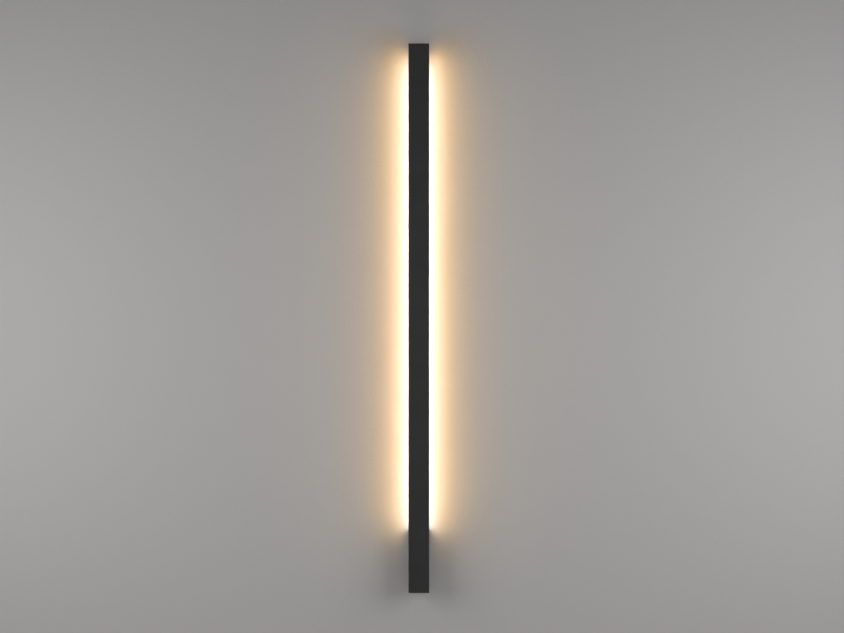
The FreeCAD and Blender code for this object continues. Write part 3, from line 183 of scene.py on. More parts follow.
class DriverSettings(bpy.types.PropertyGroup):
    board: colour("Board", "#1f6a3c", "Green lacquer on the driver's circuit board")
    track: colour("Tracks", "#2f8550", "The lacquer over its copper")
    track_wide: length("Tracks' width", 5.0, "How wide the driver board's copper islands are")
    track_longer: number("Tracks' length", 1.4, "How many times longer than wide they are")
    chip: colour("Chips", "#232326", "Epoxy of chips and resistors")
    ferrite: colour("Ferrite", "#3d3e42", "Transformer core and choke")
    ferrite_light: colour("Ferrite's light grains", "#4a4b50", "The paler grains in it")
    wrap: colour("Wrap", "#d8b83a", "Polyester tape round the transformer's winding")
    wrap_edge: colour("Wrap's edges", "#c9a528", "Towards the edge of each turn of the tape")
    sleeve: colour("Sleeve", "#1e2742", "Shrink sleeve of the electrolytic capacitors")
    can: colour("Can", "#c9ccd0", "Bare aluminium of their ends")
    can_dull: colour("Can's streaks", "#b4b8bd", "Duller streaks in it")
    bung: colour("Bung", "#1b1b1d", "Rubber that their leads come out of")
    enamel: colour("Enamelled wire", "#b4622c", "The choke's winding")
    lead_tin: colour("Leads", "#cfcdc6", "Tinned leads of the moulded parts")
    lead_dull: colour("Leads' streaks", "#b9b7af", "Duller streaks in their tin")
    lead: length("Lead's radius", 0.3, "Leads of the capacitors")
    lead_out: length("Lead's run", 1.4, "How far they come out before they turn down")
    lead_pitch: length("Lead pitch", 1.27, "Spacing of the moulded parts' leads")
    choke_wire: length("Choke wire's radius", 0.2, "The enamelled wire")
    core_leg: length("Middle leg", 4.5, "Width of the transformer's middle leg")
    core_cover: length("Coil over the core", 2.0, "How far the coil stands past the core, front and back")


class StageSettings(bpy.types.PropertyGroup):
    wall: colour("Wall", "#9e9d9d", "Painted wall behind the light")
    stipple: length("Stipple", 5.0, "Width of the specks that the wall's roller left")
    stipple_deep: length("Stipple's depth", 0.3, "Height of those specks")
    clear_gap: length("Clear gap", 12.0, "What is nearer to the wall than this gets light from behind it")
    floor: colour("Floor", "#e6e4e0", "Plain pale floor")
    around: number("Surroundings", 0.2, "Radiance of the room all round, where 1 is white")
    left: number("Left softbox", 8.1, "Power in watts of the soft lamp on the left")
    right: number("Right softbox", 8.47, "Power in watts of the soft lamp on the right")
    behind: number("Back softboxes", 8.0, "Power in watts of each soft lamp behind the wall")
    softbox: length("Softbox", 800.0, "Width and height of each soft lamp")
    softbox_aside: length("Softboxes' distance aside", 900.0, "How far left or right of the light they stand")
    softbox_ahead: length("Softboxes' distance ahead", 800.0, "How far in front of or behind the wall")
    lens: bpy.props.FloatProperty(name="Lens", description="Focal length in millimetres on a 36 mm sensor",
                                  subtype="DISTANCE_CAMERA", min=1, default=85.0)
    floor_below: length("Floor's depth", 520.0, "How far the floor lies under the light")
    reach: length("Reach", 2400.0, "Half the width of the wall and of the floor")


# ---- Surfaces --------------------------------------------------------------------------------

# Ways to stand a shape up: the rows are the directions of its own X, Y and Z.
TO_WALL = np.array([(0, 0, 1), (1, 0, 0), (0, 1, 0)], float)
TO_ROOM = np.array([(1, 0, 0), (0, 0, 1), (0, -1, 0)], float)
DOWN_TO_BOARD = np.array([(0, 0, -1), (1, 0, 0), (0, -1, 0)], float)


def skin(rings, finish=0, looped=False):
    """Corners, faces and finish of a closed skin over rows of points. Each row closes on itself. The
    first and last rows are filled with a face, or joined to each other where the rows are looped. The
    faces are turned over if the volume under them, the sum of a . (b x c) / 6, comes out negative."""
    rows, columns = rings.shape[:2]
    start = np.arange(rows if looped else rows - 1)[:, None] * columns
    here = np.arange(columns)[None, :]
    beside, above = (here + 1) % columns, (start + columns) % (rows * columns)
    quads = np.stack([start + here, start + beside, above + beside, above + here], -1).reshape(-1, 4)
    groups = [quads] if looped else [quads, here[:, ::-1], here + (rows - 1) * columns]
    points = rings.reshape(-1, 3)
    spokes = [points[group] - points.mean(0) for group in groups]
    volume = sum((spoke[:, :1] * np.cross(spoke[:, 1:-1], spoke[:, 2:])).sum() for spoke in spokes)
    return points, groups if volume > 0 else [group[:, ::-1] for group in groups], finish


def placed(rings, axes, origin):
    """Rings turned so that their own X, Y and Z lie along the given axes, about a given origin."""
    return np.asarray(origin) + rings @ axes


def drawn_out(profile, low, high, steps):
    """Rings of a profile in X and Y carried straight along Z: (x, y) of the profile, z from low to high."""
    rings = np.empty((steps + 1, len(profile), 3))
    rings[:, :, :2] = profile
    rings[:, :, 2] = np.linspace(low, high, steps + 1)[:, None]
    return rings


def turned(profile, columns=32):
    """Rings of a profile of (radius, height) turned about Z: (r cos a, r sin a, h)."""
    radius, height = np.asarray(profile, float).T[:, :, None]
    angle = np.linspace(0, 2 * np.pi, columns, endpoint=False)[None, :]
    return np.stack(np.broadcast_arrays(radius * np.cos(angle), radius * np.sin(angle), height), -1)


def rounded_plan(half_x, half_y, corner, steps=2):
    """A rectangle about the origin in X and Y whose corners are quarter circles:
    (half - corner) towards each corner, plus corner (cos a, sin a)."""
    signs = np.array([(1, 1), (-1, 1), (-1, -1), (1, -1)])[:, None, :]
    angle = np.arange(4)[:, None] * np.pi / 2 + np.linspace(0, np.pi / 2, steps + 1)
    arcs = corner * np.stack([np.cos(angle), np.sin(angle)], -1)
    return (signs * (half_x - corner, half_y - corner) + arcs).reshape(-1, 2)


def stack(half_x, half_y, corner, levels, steps=2):
    """Rings of a rounded rectangle, one for each level of (inset, height)."""
    rings = [np.insert(rounded_plan(half_x - inset, half_y - inset, max(corner - inset, corner / 4), steps),
                       2, height, axis=1) for inset, height in levels]
    return np.array(rings)


def eased(half_x, half_y, high, edge, corner, steps=2):
    """Rings of a block that stands on z = 0, its edges rounded with quarter circles: at an angle a the
    inset is edge (1 - sin a) and the height edge (1 - cos a), and the top mirrors the bottom."""
    a = np.linspace(0, np.pi / 2, steps + 1)
    foot = np.stack([edge * (1 - np.sin(a)), edge * (1 - np.cos(a))], -1)
    head = np.stack([foot[::-1, 0], high - foot[::-1, 1]], -1)
    return stack(half_x, half_y, corner, np.concatenate([foot, head]), steps)


def strip(path, wide, thick, middle_y=0.0):
    """Rings of a flat strip bent along a path in X and Z: each point of the path, plus and minus half the
    thickness along the path's normal and half the width along Y."""
    along = np.gradient(path, axis=0)
    normal = np.stack([-along[:, 1], along[:, 0]], -1) / np.linalg.norm(along, axis=1)[:, None]
    rings = np.empty((len(path), 4, 3))
    for k, (out, side) in enumerate(((1, 1), (1, -1), (-1, -1), (-1, 1))):
        rings[:, k, [0, 2]] = path + out * normal * thick / 2
        rings[:, k, 1] = middle_y + side * wide / 2
    return rings


def wound(radius, wire, low, high, turns, columns=24, sides=6):
    """Rings of a wire wound round Z: the middle is (R cos a, R sin a, z), z rising evenly with a, and the
    section a circle in the plane of the radius and Z."""
    angle = np.linspace(0, 2 * np.pi * turns, turns * columns + 1)[:, None]
    around = np.linspace(0, 2 * np.pi, sides, endpoint=False)[None, :]
    reach = radius + wire * np.cos(around)
    height = low + (high - low) * angle / angle[-1] + wire * np.sin(around)
    return np.stack([reach * np.cos(angle), reach * np.sin(angle), height], -1)


def bent_wire(start, out, drop, bend, wire, steps=6, sides=8):
    """Rings of a wire that runs along X for a length, turns down through a quarter circle and drops along
    Z: its middle goes (out - bend, 0), then bend (sin a, cos a - 1) past that, then straight down."""
    a = np.linspace(0, np.pi / 2, steps + 1)
    arc = np.stack([out - bend + bend * np.sin(a), bend * (np.cos(a) - 1)], -1)
    path = np.concatenate([[(0, 0)], arc, [(out, -drop)]])
    heading = np.concatenate([[0], a, [np.pi / 2]])[:, None]
    around = np.linspace(0, 2 * np.pi, sides, endpoint=False)[None, :]
    x = path[:, :1] + wire * np.cos(around) * np.sin(heading)
    z = path[:, 1:] + wire * np.cos(around) * np.cos(heading)
    y = np.broadcast_to(wire * np.sin(around), x.shape)
    return np.asarray(start) + np.stack([x, y, z], -1)


def solids(name):
    """The lowest and highest corners of each separate solid in a CAD node, in order of height. Corners
    that share a place or a face take the lowest label among them until none changes."""
    same_place = 0.001 * MM
    mesh = NODES[name].data
    points = np.empty(len(mesh.vertices) * 3)
    mesh.vertices.foreach_get("co", points)
    points = points.reshape(-1, 3)
    corners = np.empty(len(mesh.polygons) * 3, int)
    mesh.polygons.foreach_get("vertices", corners)
    place = np.unique(np.round(points / same_place), axis=0, return_inverse=True)[1].reshape(-1)
    triangles = place[corners.reshape(-1, 3)]
    label = np.arange(place.max() + 1)
    while True:
        lowest = label[triangles].min(1)
        renewed = label.copy()
        np.minimum.at(renewed, triangles.reshape(-1), np.repeat(lowest, 3))
        if (renewed == label).all():
            break
        label = renewed
    own = label[place]
    boxes = [(points[own == one].min(0), points[own == one].max(0)) for one in np.unique(own)]
    return sorted(boxes, key=lambda box: (round(box[0][2], 5), box[0][0]))


def piece(name, shapes, finishes, body, stands_for, sharp=40.0):
    """A mesh piece that rides on a body in the place of CAD nodes. Edges sharper than an angle, in
    degrees, stay crisp."""
    corners, faces, finish_of_face, count = [], [], [], 0
    for points, groups, finish in shapes:
        corners.append(points)
        for group in groups:
            faces += (group + count).tolist()
            finish_of_face += [finish] * len(group)
        count += len(points)
    mesh = bpy.data.meshes.new(name)
    mesh.from_pydata(np.concatenate(corners).tolist(), [], faces)
    mesh.polygons.foreach_set("use_smooth", np.ones(len(faces), bool))
    mesh.polygons.foreach_set("material_index", finish_of_face)
    mesh.set_sharp_from_angle(angle=math.radians(sharp))
    for finish in finishes:
        mesh.materials.append(finish)
    made = bpy.data.objects.new(name, mesh)
    bpy.context.scene.collection.objects.link(made)
    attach(made, body)
    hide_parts(*stands_for)
    return made


# ---- Finishes --------------------------------------------------------------------------------

def add_node(tree, kind, sockets=None, **settings):
    """Adds a node with its settings. A socket gets a value, or a link from another node's output."""
    made = tree.nodes.new(kind)
    for name, value in settings.items():
        setattr(made, name, value)
    for name, value in (sockets or {}).items():
        if isinstance(value, bpy.types.NodeSocket):
            tree.links.new(value, made.inputs[name])
        else:
            made.inputs[name].default_value = value
    return made


def new_finish(name, **sockets):
    """A material with a Principled shader, and the place of each point on the object."""
    material = bpy.data.materials.new(name)
    material.use_nodes = True
    tree = material.node_tree
    tree.nodes.clear()
    shader = add_node(tree, "ShaderNodeBsdfPrincipled",
                      {key.replace("_", " "): value for key, value in sockets.items()})
    add_node(tree, "ShaderNodeOutputMaterial", {"Surface": shader.outputs["BSDF"]})
    place = add_node(tree, "ShaderNodeTexCoord").outputs["Object"]
    return material, tree, shader, place


def vary(tree, shader, tone, rough, height):
    """Lets three patterns from 0 to 1 drive a shader. Tone holds a pattern and two colours, rough a
    pattern and two roughnesses, and height a pattern and how far it stands out in metres."""
    paint = add_node(tree, "ShaderNodeMix", {0: tone[0], 6: tone[1], 7: tone[2]}, data_type="RGBA")
    gloss = add_node(tree, "ShaderNodeMapRange", {"Value": rough[0], "To Min": rough[1], "To Max": rough[2]})
    relief = add_node(tree, "ShaderNodeBump", {"Height": height[0], "Distance": height[1], "Strength": 1.0})
    tree.links.new(paint.outputs[2], shader.inputs["Base Color"])
    tree.links.new(gloss.outputs["Result"], shader.inputs["Roughness"])
    tree.links.new(relief.outputs["Normal"], shader.inputs["Normal"])


def powder_coat(settings):
    """Black polyester powder coat, sprayed and baked on aluminium: an even matt black whose skin has
    the faint ripple called orange peel."""
    material, tree, shader, place = new_finish("black_powder_coat", IOR=1.5)
    film = add_node(tree, "ShaderNodeTexNoise", {"Vector": place, "Scale": 1 / (30 * MM), "Detail": 3.0})
    ripple = add_node(tree, "ShaderNodeTexNoise", {"Vector": place, "Scale": 1 / settings.peel,
                                                   "Detail": 1.0})
    vary(tree, shader, (film.outputs["Fac"], settings.coat, settings.coat_light),
         (film.outputs["Fac"], settings.coat_rough - 0.04, settings.coat_rough + 0.04),
         (ripple.outputs["Fac"], settings.peel_deep))
    return material


def zinc_plate(settings):
    """Electro-plated zinc on pressed steel: a cool satin grey of fine crystals, which the eye reads as
    metal by its broken highlights, and faint streaks from rolling the sheet."""
    material, tree, shader, place = new_finish("zinc_plated_steel", Metallic=1.0)
    crystals = add_node(tree, "ShaderNodeTexVoronoi", {"Vector": place, "Scale": 1 / (0.9 * MM)})
    grey = add_node(tree, "ShaderNodeSeparateColor", {"Color": crystals.outputs["Color"]})
    stretched = add_node(tree, "ShaderNodeMapping", {"Vector": place, "Scale": (1.0, 1.0, 0.03)})
    streaks = add_node(tree, "ShaderNodeTexNoise", {"Vector": stretched.outputs["Vector"],
                                                    "Scale": 1 / (0.5 * MM), "Detail": 2.0})
    vary(tree, shader, (grey.outputs["Red"], settings.zinc, settings.zinc_dark),
         (grey.outputs["Green"], 0.3, 0.42), (streaks.outputs["Fac"], 0.004 * MM))
    return material


def blacked_steel(settings):
    """Steel screws in black oxide: a thin oily black with bare steel's gloss under it."""
    material, tree, shader, place = new_finish("black_steel", Metallic=1.0)
    oil = add_node(tree, "ShaderNodeTexNoise", {"Vector": place, "Scale": 1 / (1.2 * MM), "Detail": 3.0})
    skin_grain = add_node(tree, "ShaderNodeTexNoise", {"Vector": place, "Scale": 1 / (0.25 * MM)})
    vary(tree, shader, (oil.outputs["Fac"], settings.blacked, settings.blacked_light),
         (oil.outputs["Fac"], 0.28, 0.45), (skin_grain.outputs["Fac"], 0.003 * MM))
    return material


def rolled_metal(name, tone, dull, rough):
    """Bare sheet metal as it leaves the rolls: fine streaks along Z in tone and gloss."""
    material, tree, shader, place = new_finish(name, Metallic=1.0)
    stretched = add_node(tree, "ShaderNodeMapping", {"Vector": place, "Scale": (1.0, 1.0, 0.05)})
    streaks = add_node(tree, "ShaderNodeTexNoise", {"Vector": stretched.outputs["Vector"],
                                                    "Scale": 1 / (0.3 * MM), "Detail": 3.0})
    vary(tree, shader, (streaks.outputs["Fac"], tone, dull),
         (streaks.outputs["Fac"], rough - 0.06, rough + 0.06), (streaks.outputs["Fac"], 0.004 * MM))
    return material


def moulding(name, tone, rough, grain, depth, ior=1.5, shade=0.86):
    """An injection moulding with the fine spark-eroded grain of its tool: tone and gloss wander a
    little, and the grain stands a few microns high."""
    material, tree, shader, place = new_finish(name, IOR=ior)
    flow = add_node(tree, "ShaderNodeTexNoise", {"Vector": place, "Scale": 1 / (8 * MM), "Detail": 3.0})
    sparks = add_node(tree, "ShaderNodeTexNoise", {"Vector": place, "Scale": 1 / grain, "Detail": 2.0})
    darker = [channel * shade for channel in tone[:3]] + [1.0]
    vary(tree, shader, (flow.outputs["Fac"], tone, darker),
         (flow.outputs["Fac"], rough - 0.05, rough + 0.05), (sparks.outputs["Fac"], depth))
    return material


def opal_acrylic(settings):
    """Extruded opal acrylic, lit from inside: even light, and a faint satin gloss where it isn't lit."""
    material, tree, shader, place = new_finish(
        "opal_acrylic", IOR=1.49, Emission_Color=settings.light, Emission_Strength=settings.strength)
    cloud = add_node(tree, "ShaderNodeTexNoise", {"Vector": place, "Scale": 1 / (5 * MM), "Detail": 3.0})
    satin = add_node(tree, "ShaderNodeTexNoise", {"Vector": place, "Scale": 1 / (0.5 * MM)})
    vary(tree, shader, (cloud.outputs["Fac"], settings.opal, settings.opal_dull),
         (cloud.outputs["Fac"], 0.3, 0.4), (satin.outputs["Fac"], 0.003 * MM))
    return material


def lacquered_board(name, mask, over_copper, island, longer, rough):
    """Solder mask printed over etched copper. The copper lies in angular islands with narrow gaps
    between them, stands up by its 35 microns and shows through a little lighter. An island's edge is
    where its nearest and second nearest points are about as far away."""
    material, tree, shader, place = new_finish(name, IOR=1.53)
    squeezed = add_node(tree, "ShaderNodeMapping", {"Vector": place, "Scale": (1.0, 1.0, 1 / longer)})
    cells = {"Vector": squeezed.outputs["Vector"], "Scale": 1 / island, "Randomness": 0.8}
    near = add_node(tree, "ShaderNodeTexVoronoi", cells, distance="CHEBYCHEV")
    next_near = add_node(tree, "ShaderNodeTexVoronoi", cells, distance="CHEBYCHEV", feature="F2")
    apart = add_node(tree, "ShaderNodeMath", {0: next_near.outputs["Distance"], 1: near.outputs["Distance"]},
                     operation="SUBTRACT")
    copper = add_node(tree, "ShaderNodeMath", {0: apart.outputs[0], 1: 0.1}, operation="GREATER_THAN")
    film = add_node(tree, "ShaderNodeTexNoise", {"Vector": place, "Scale": 1 / (2 * MM), "Detail": 3.0})
    vary(tree, shader, (copper.outputs[0], mask, over_copper),
         (film.outputs["Fac"], rough - 0.05, rough + 0.05), (copper.outputs[0], 0.035 * MM))
    return material


def striped_insulation(settings):
    """Earth wire's extruded sleeve: a yellow stripe winds round green. It's drawn as bands that lean
    across the wire."""
    material, tree, shader, place = new_finish("green_yellow_insulation", IOR=1.53)
    leaning = add_node(tree, "ShaderNodeMapping", {"Vector": place, "Rotation": (0.0, math.radians(35), 0.0)})
    bands = add_node(tree, "ShaderNodeTexWave",
                     {"Vector": leaning.outputs["Vector"], "Scale": WAVE / settings.stripe_lay},
                     bands_direction="Z", wave_profile="SAW")
    yellow = add_node(tree, "ShaderNodeMath", {0: bands.outputs["Fac"], 1: 0.42}, operation="LESS_THAN")
    soft = add_node(tree, "ShaderNodeTexNoise", {"Vector": place, "Scale": 1 / (1.5 * MM), "Detail": 3.0})
    vary(tree, shader, (yellow.outputs[0], settings.green, settings.yellow),
         (soft.outputs["Fac"], 0.3, 0.42), (soft.outputs["Fac"], 0.01 * MM))
    return material


def closed_cell_foam(settings):
    """Closed-cell foam: a matt grey crowded with small round cells. Each cell's pit is painted darker than
    the rims between the cells, as painted shade in the pits.
    """
    material, tree, shader, place = new_finish("grey_foam", IOR=1.4)
    cells = add_node(tree, "ShaderNodeTexVoronoi", {"Vector": place, "Scale": 1 / (0.7 * MM)})
    # The same distance that sinks each pit gives it the darker tone and the rims the lighter one: painted
    # shade in the pits.
    vary(tree, shader, (cells.outputs["Distance"], settings.foam, settings.foam_lit_rims),
         (cells.outputs["Distance"], 0.85, 0.95), (cells.outputs["Distance"], 0.15 * MM))
    return material


def sintered_ferrite(settings):
    """Pressed and fired ferrite: a dense dark grey ceramic with a granular, slightly shiny skin."""
    material, tree, shader, place = new_finish("ferrite", IOR=2.2)
    grains = add_node(tree, "ShaderNodeTexVoronoi", {"Vector": place, "Scale": 1 / (0.5 * MM)})
    tone = add_node(tree, "ShaderNodeSeparateColor", {"Color": grains.outputs["Color"]})
    vary(tree, shader, (tone.outputs["Red"], settings.ferrite, settings.ferrite_light),
         (tone.outputs["Blue"], 0.45, 0.65), (grains.outputs["Distance"], 0.02 * MM))
    return material


def wound_tape(settings):
    """Yellow polyester tape wound over a transformer's coil: a glossy film with the edge of each turn
    showing as a fine line, each 1.3 mm."""
    material, tree, shader, place = new_finish("winding_tape", IOR=1.6)
    turns = add_node(tree, "ShaderNodeTexWave",
                     {"Vector": place, "Scale": WAVE / (1.3 * MM), "Distortion": 0.4},
                     bands_direction="Z", wave_profile="SAW")
    film = add_node(tree, "ShaderNodeTexNoise", {"Vector": place, "Scale": 1 / (3 * MM), "Detail": 3.0})
    vary(tree, shader, (turns.outputs["Fac"], settings.wrap, settings.wrap_edge),
         (film.outputs["Fac"], 0.16, 0.26), (turns.outputs["Fac"], 0.03 * MM))
    return material


def dress(finish, *names):
    """Gives CAD nodes a finish."""
    for name in names:
        NODES[name].material_slots[0].material = finish


# ---- Pieces ----------------------------------------------------------------------------------

class WALLLIGHT_OT_shell(bpy.types.Operator):
    """Coats the tube, its two ends, the wiring housing and the spacer"""
    bl_idname = "wall_light.shell"
    bl_label = "Coated shell"

    def execute(self, context):
        coat = powder_coat(context.scene.wall_light_shell)
        dress(coat, "body_tube", "top_end_cap", "bottom_end_cap", "lower_housing", "upper_spacer")
        return {"FINISHED"}


class WALLLIGHT_OT_fixings(bpy.types.Operator):
    """Finishes the screws, nuts and washer"""
    bl_idname = "wall_light.fixings"
    bl_label = "Screws and nuts"

    def execute(self, context):
        settings = context.scene.wall_light_metals
        dress(blacked_steel(settings), "top_cap_screws", "bottom_cap_screws", "grub_screws")
        dress(zinc_plate(settings), "wall_plate", "housing_screws", "spacer_screw",
              "terminal_block_screws", "lower_slot_nut", "upper_slot_nut", "earth_washer", "earth_screw")
        return {"FINISHED"}


def cover_profile(settings):
    """The opal cover's section: a flat back with two tongues, and a face that bows towards the wall as a
    parabola, y = outer + crown (1 - (x / shoulder)^2)."""
    low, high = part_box("diffuser")
    tongue = high.x
    shoulder = tongue - settings.tuck
    inner, outer = low.y, low.y + settings.edge
    x = np.linspace(shoulder, -shoulder, 25)
    crown = np.stack([x, outer + settings.crown * (1 - (x / shoulder) ** 2)], -1)
    return np.concatenate([[(-tongue, inner), (tongue, inner), (tongue, outer)], crown,
                           [(-tongue, outer)]])


def lamp_panel(name, place, towards, wide, tall, watts, tint=(1, 1, 1)):
    """A rectangular lamp at a place, upright and turned in plan towards a direction. No view shows it."""
    light = bpy.data.lights.new(name, "AREA")
    light.shape = "RECTANGLE"
    light.size, light.size_y = wide, tall
    light.energy, light.color = watts, tint[:3]
    made = bpy.data.objects.new(name, light)
    made.location = place
    made.rotation_euler = (math.radians(90), 0, math.atan2(-towards[0], towards[1]))
    made.visible_camera = False
    bpy.context.scene.collection.objects.link(made)
    return made


def make_washes(settings):
    """Lamps for the light that spreads past the bar: an upright strip along each of the tube's sides,
    and a short one that faces the wall at each side of the spacer. They move with the lamp."""
    off_side, off_back, margin = 0.2 * MM, 0.1 * MM, 0.5 * MM
    spacer_low, spacer_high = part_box("upper_spacer")
    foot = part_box("lower_housing")[1].z - settings.wash_past
    head = CAD_HIGH.z - settings.wash_short
    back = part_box("body_tube")[1].y
    for side, name in ((-1, "left"), (1, "right")):
        beside = (side * (CAD_HIGH.x + off_side), -settings.wash_off, (foot + head) / 2)
        wash = lamp_panel(name + "_wash", beside, (side, 0), settings.wash_wide, head - foot,
                          settings.wash_power, settings.wash)
        gap = CAD_HIGH.x - spacer_high.x
        above = (side * (spacer_high.x + gap / 2), back + off_back,
                 spacer_low.z + settings.top_glow_tall / 2)
        glow = lamp_panel(name + "_top_glow", above, (0, 1), gap - 2 * margin, settings.top_glow_tall,
                          settings.top_glow_power, settings.top_glow)
        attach(wash, "lamp")
        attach(glow, "lamp")


def make_leds(settings):
    """Each LED is a moulded cup on two tinned lead frames, filled with silicone that sinks a little in
    the middle."""
    plastic = moulding("white_led_plastic", settings.package, rough=0.3, grain=0.3 * MM, depth=0.004 * MM)
    silicone = moulding("led_phosphor", settings.phosphor, rough=0.35, grain=0.2 * MM, depth=0.01 * MM,
                        ior=1.42)
    tin = rolled_metal("tinned_pads", settings.pad, settings.pad_dull, rough=0.3)
    cup_corner, fill_corner, foot_lean, lip = 0.25 * MM, 0.3 * MM, 0.06 * MM, 0.04 * MM
    lead_thick, lead_edge, lead_corner, lead_share = 0.15 * MM, 0.03 * MM, 0.1 * MM, 0.7
    sink_near, sink_far = (0.25 * MM, 0.8), (0.6 * MM, 0.68)
    cups, fills = [], []
    for (low, high), (well, rim) in zip(solids("led_packages"), solids("led_phosphors")):
        half_z, half_x, tall = (high[2] - low[2]) / 2, (high[0] - low[0]) / 2, high[1] - low[1]
        wall = high[0] - rim[0]
        foot = np.array([(low[0] + high[0]) / 2, low[1], (low[2] + high[2]) / 2])
        sunk = rim[1] - well[1]
        levels = [(foot_lean, 0), (0, tall / 3), (lip, tall), (wall, tall), (wall * 1.4, tall - sunk)]
        cups.append(skin(placed(stack(half_z, half_x, cup_corner, levels), TO_WALL, foot)))
        for side in (-1, 1):
            lead = eased(half_z * lead_share, settings.pad_reach / 2, lead_thick, lead_edge, lead_corner, 1)
            edge = foot + (side * (half_x - settings.pad_reach / 2 + settings.pad_past), 0, 0)
            cups.append(skin(placed(lead, TO_WALL, edge), 1))
        level = [(0, 0), (0, sunk), *((inset, sunk * left) for inset, left in (sink_near, sink_far))]
        foot = np.array([foot[0], well[1], foot[2]])
        fills.append(skin(placed(stack(half_z - wall, half_x - wall, fill_corner, level), TO_WALL, foot)))
    piece("led_cups", cups, [plastic, tin], "lamp", ["led_packages"])
    piece("led_silicone", fills, [silicone], "lamp", ["led_phosphors"])


def make_resistors(settings):
    """Each resistor is a ceramic chip under a black glaze, with tinned ends that wrap it."""
    glaze = moulding("chip_black", settings.glaze, rough=0.3, grain=0.2 * MM, depth=0.004 * MM, ior=1.55)
    ceramic = moulding("white_ceramic", settings.ceramic, rough=0.5, grain=0.1 * MM, depth=0.003 * MM,
                       ior=1.76)
    tin = rolled_metal("tinned_ends", settings.pad, settings.pad_dull, rough=0.28)
    plating, wrap_share, body_share, glaze_share = 0.04 * MM, 0.16, 0.86, 0.12
    chips = []
    for low, high in solids("board_resistors"):
        half_z, half_x, tall = (high[2] - low[2]) / 2, (high[0] - low[0]) / 2, high[1] - low[1]
        foot = np.array([(low[0] + high[0]) / 2, low[1], (low[2] + high[2]) / 2])
        wrap = half_z * wrap_share
        body = eased(half_z - plating, half_x - plating, tall * body_share, edge=0.03 * MM,
                     corner=0.06 * MM)
        cover = eased(half_z - 2.2 * wrap, half_x - plating, tall * glaze_share, edge=0.02 * MM,
                      corner=0.06 * MM)
        chips.append(skin(placed(body, TO_WALL, foot + (0, plating, 0)), 1))
        chips.append(skin(placed(cover, TO_WALL, foot + (0, tall * body_share, 0))))
        for side in (-1, 1):
            end = eased(wrap, half_x, tall, edge=0.05 * MM, corner=0.08 * MM)
            chips.append(skin(placed(end, TO_WALL, foot + (0, 0, side * (half_z - wrap))), 2))
    piece("resistor_chips", chips, [glaze, ceramic, tin], "lamp", ["board_resistors"])


class WALLLIGHT_OT_light_source(bpy.types.Operator):
    """Makes the lit cover, and finishes the LED board and what is on it"""
    bl_idname = "wall_light.light_source"
    bl_label = "LED strip and cover"

    def execute(self, context):
        settings = context.scene.wall_light_glow
        low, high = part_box("diffuser")
        cover = skin(drawn_out(cover_profile(settings), low.z, high.z, 96))
        piece("opal_cover", [cover], [opal_acrylic(settings)], "lamp", ["diffuser"])
        make_washes(settings)
        dress(lacquered_board("white_solder_mask", settings.mask, settings.copper_under,
                              settings.track_wide, settings.track_longer, rough=0.35), "led_board")
        make_leds(settings)
        make_resistors(settings)
        return {"FINISHED"}


class WALLLIGHT_OT_mouldings(bpy.types.Operator):
    """Finishes the plastic, rubber and foam pieces"""
    bl_idname = "wall_light.mouldings"
    bl_label = "Mouldings, rubber and foam"

    def execute(self, context):
        settings = context.scene.wall_light_mouldings
        for name, tone, rough, grain_mm, depth_mm, ior, nodes in (
                ("white_nylon", settings.nylon, 0.5, 0.3, 0.01, 1.53, ("terminal_block", "board_connector")),
                ("black_nylon", settings.black_nylon, 0.55, 0.4, 0.015, 1.53, ("upper_wall_spigot",)),
                ("black_rubber", settings.rubber, 0.75, 0.5, 0.02, 1.52, ("cable_grommet", "wire_bushing")),
                ("white_driver_case", settings.case, 0.45, 0.5, 0.012, 1.58,
                 ("driver_case_base", "driver_case_cover")),
                ("thermal_tape", settings.tape, 0.7, 0.6, 0.01, 1.45, ("thermal_tape",)),
                ("live_button_plastic", settings.live_button, 0.35, 0.4, 0.005, 1.58,
                 ("live_release_button",)),
                ("neutral_button_plastic", settings.neutral_button, 0.35, 0.4, 0.005, 1.58,
                 ("neutral_release_button",)),
                ("earth_button_plastic", settings.earth_button, 0.35, 0.4, 0.005, 1.58,
                 ("earth_release_button",))):
            dress(moulding(name, tone, rough, grain_mm * MM, depth_mm * MM, ior), *nodes)
        dress(closed_cell_foam(settings), "diffuser_stops", "driver_tape")
        return {"FINISHED"}


class WALLLIGHT_OT_terminals(bpy.types.Operator):
    """Finishes the metal of the terminals and of the earth connection"""
    bl_idname = "wall_light.terminals"
    bl_label = "Terminals"

    def execute(self, context):
        settings = context.scene.wall_light_metals
        for name, tone, dull, rough, node in (
                ("copper", settings.copper, settings.copper_dull, 0.32, "terminal_busbars"),
                ("spring_steel", settings.spring, settings.spring_dull, 0.22, "terminal_springs"),
                ("tinned_copper", settings.tin, settings.tin_dull, 0.3, "earth_lug")):
            dress(rolled_metal(name, tone, dull, rough), node)
        return {"FINISHED"}


class WALLLIGHT_OT_wires(bpy.types.Operator):
    """Colours the wires' insulation"""
    bl_idname = "wall_light.wires"
    bl_label = "Wires"

    def execute(self, context):
        settings = context.scene.wall_light_wires
        for name, tone, node in (("brown", settings.brown, "live_wire"),
                                 ("blue", settings.blue, "neutral_wire"),
                                 ("red", settings.red, "led_wire_positive"),
                                 ("black", settings.black, "led_wire_negative")):
            dress(moulding(name + "_insulation", tone, rough=0.36, grain=1.5 * MM, depth=0.01 * MM,
                           ior=1.53), node)
        dress(striped_insulation(settings), "earth_wire")
        return {"FINISHED"}


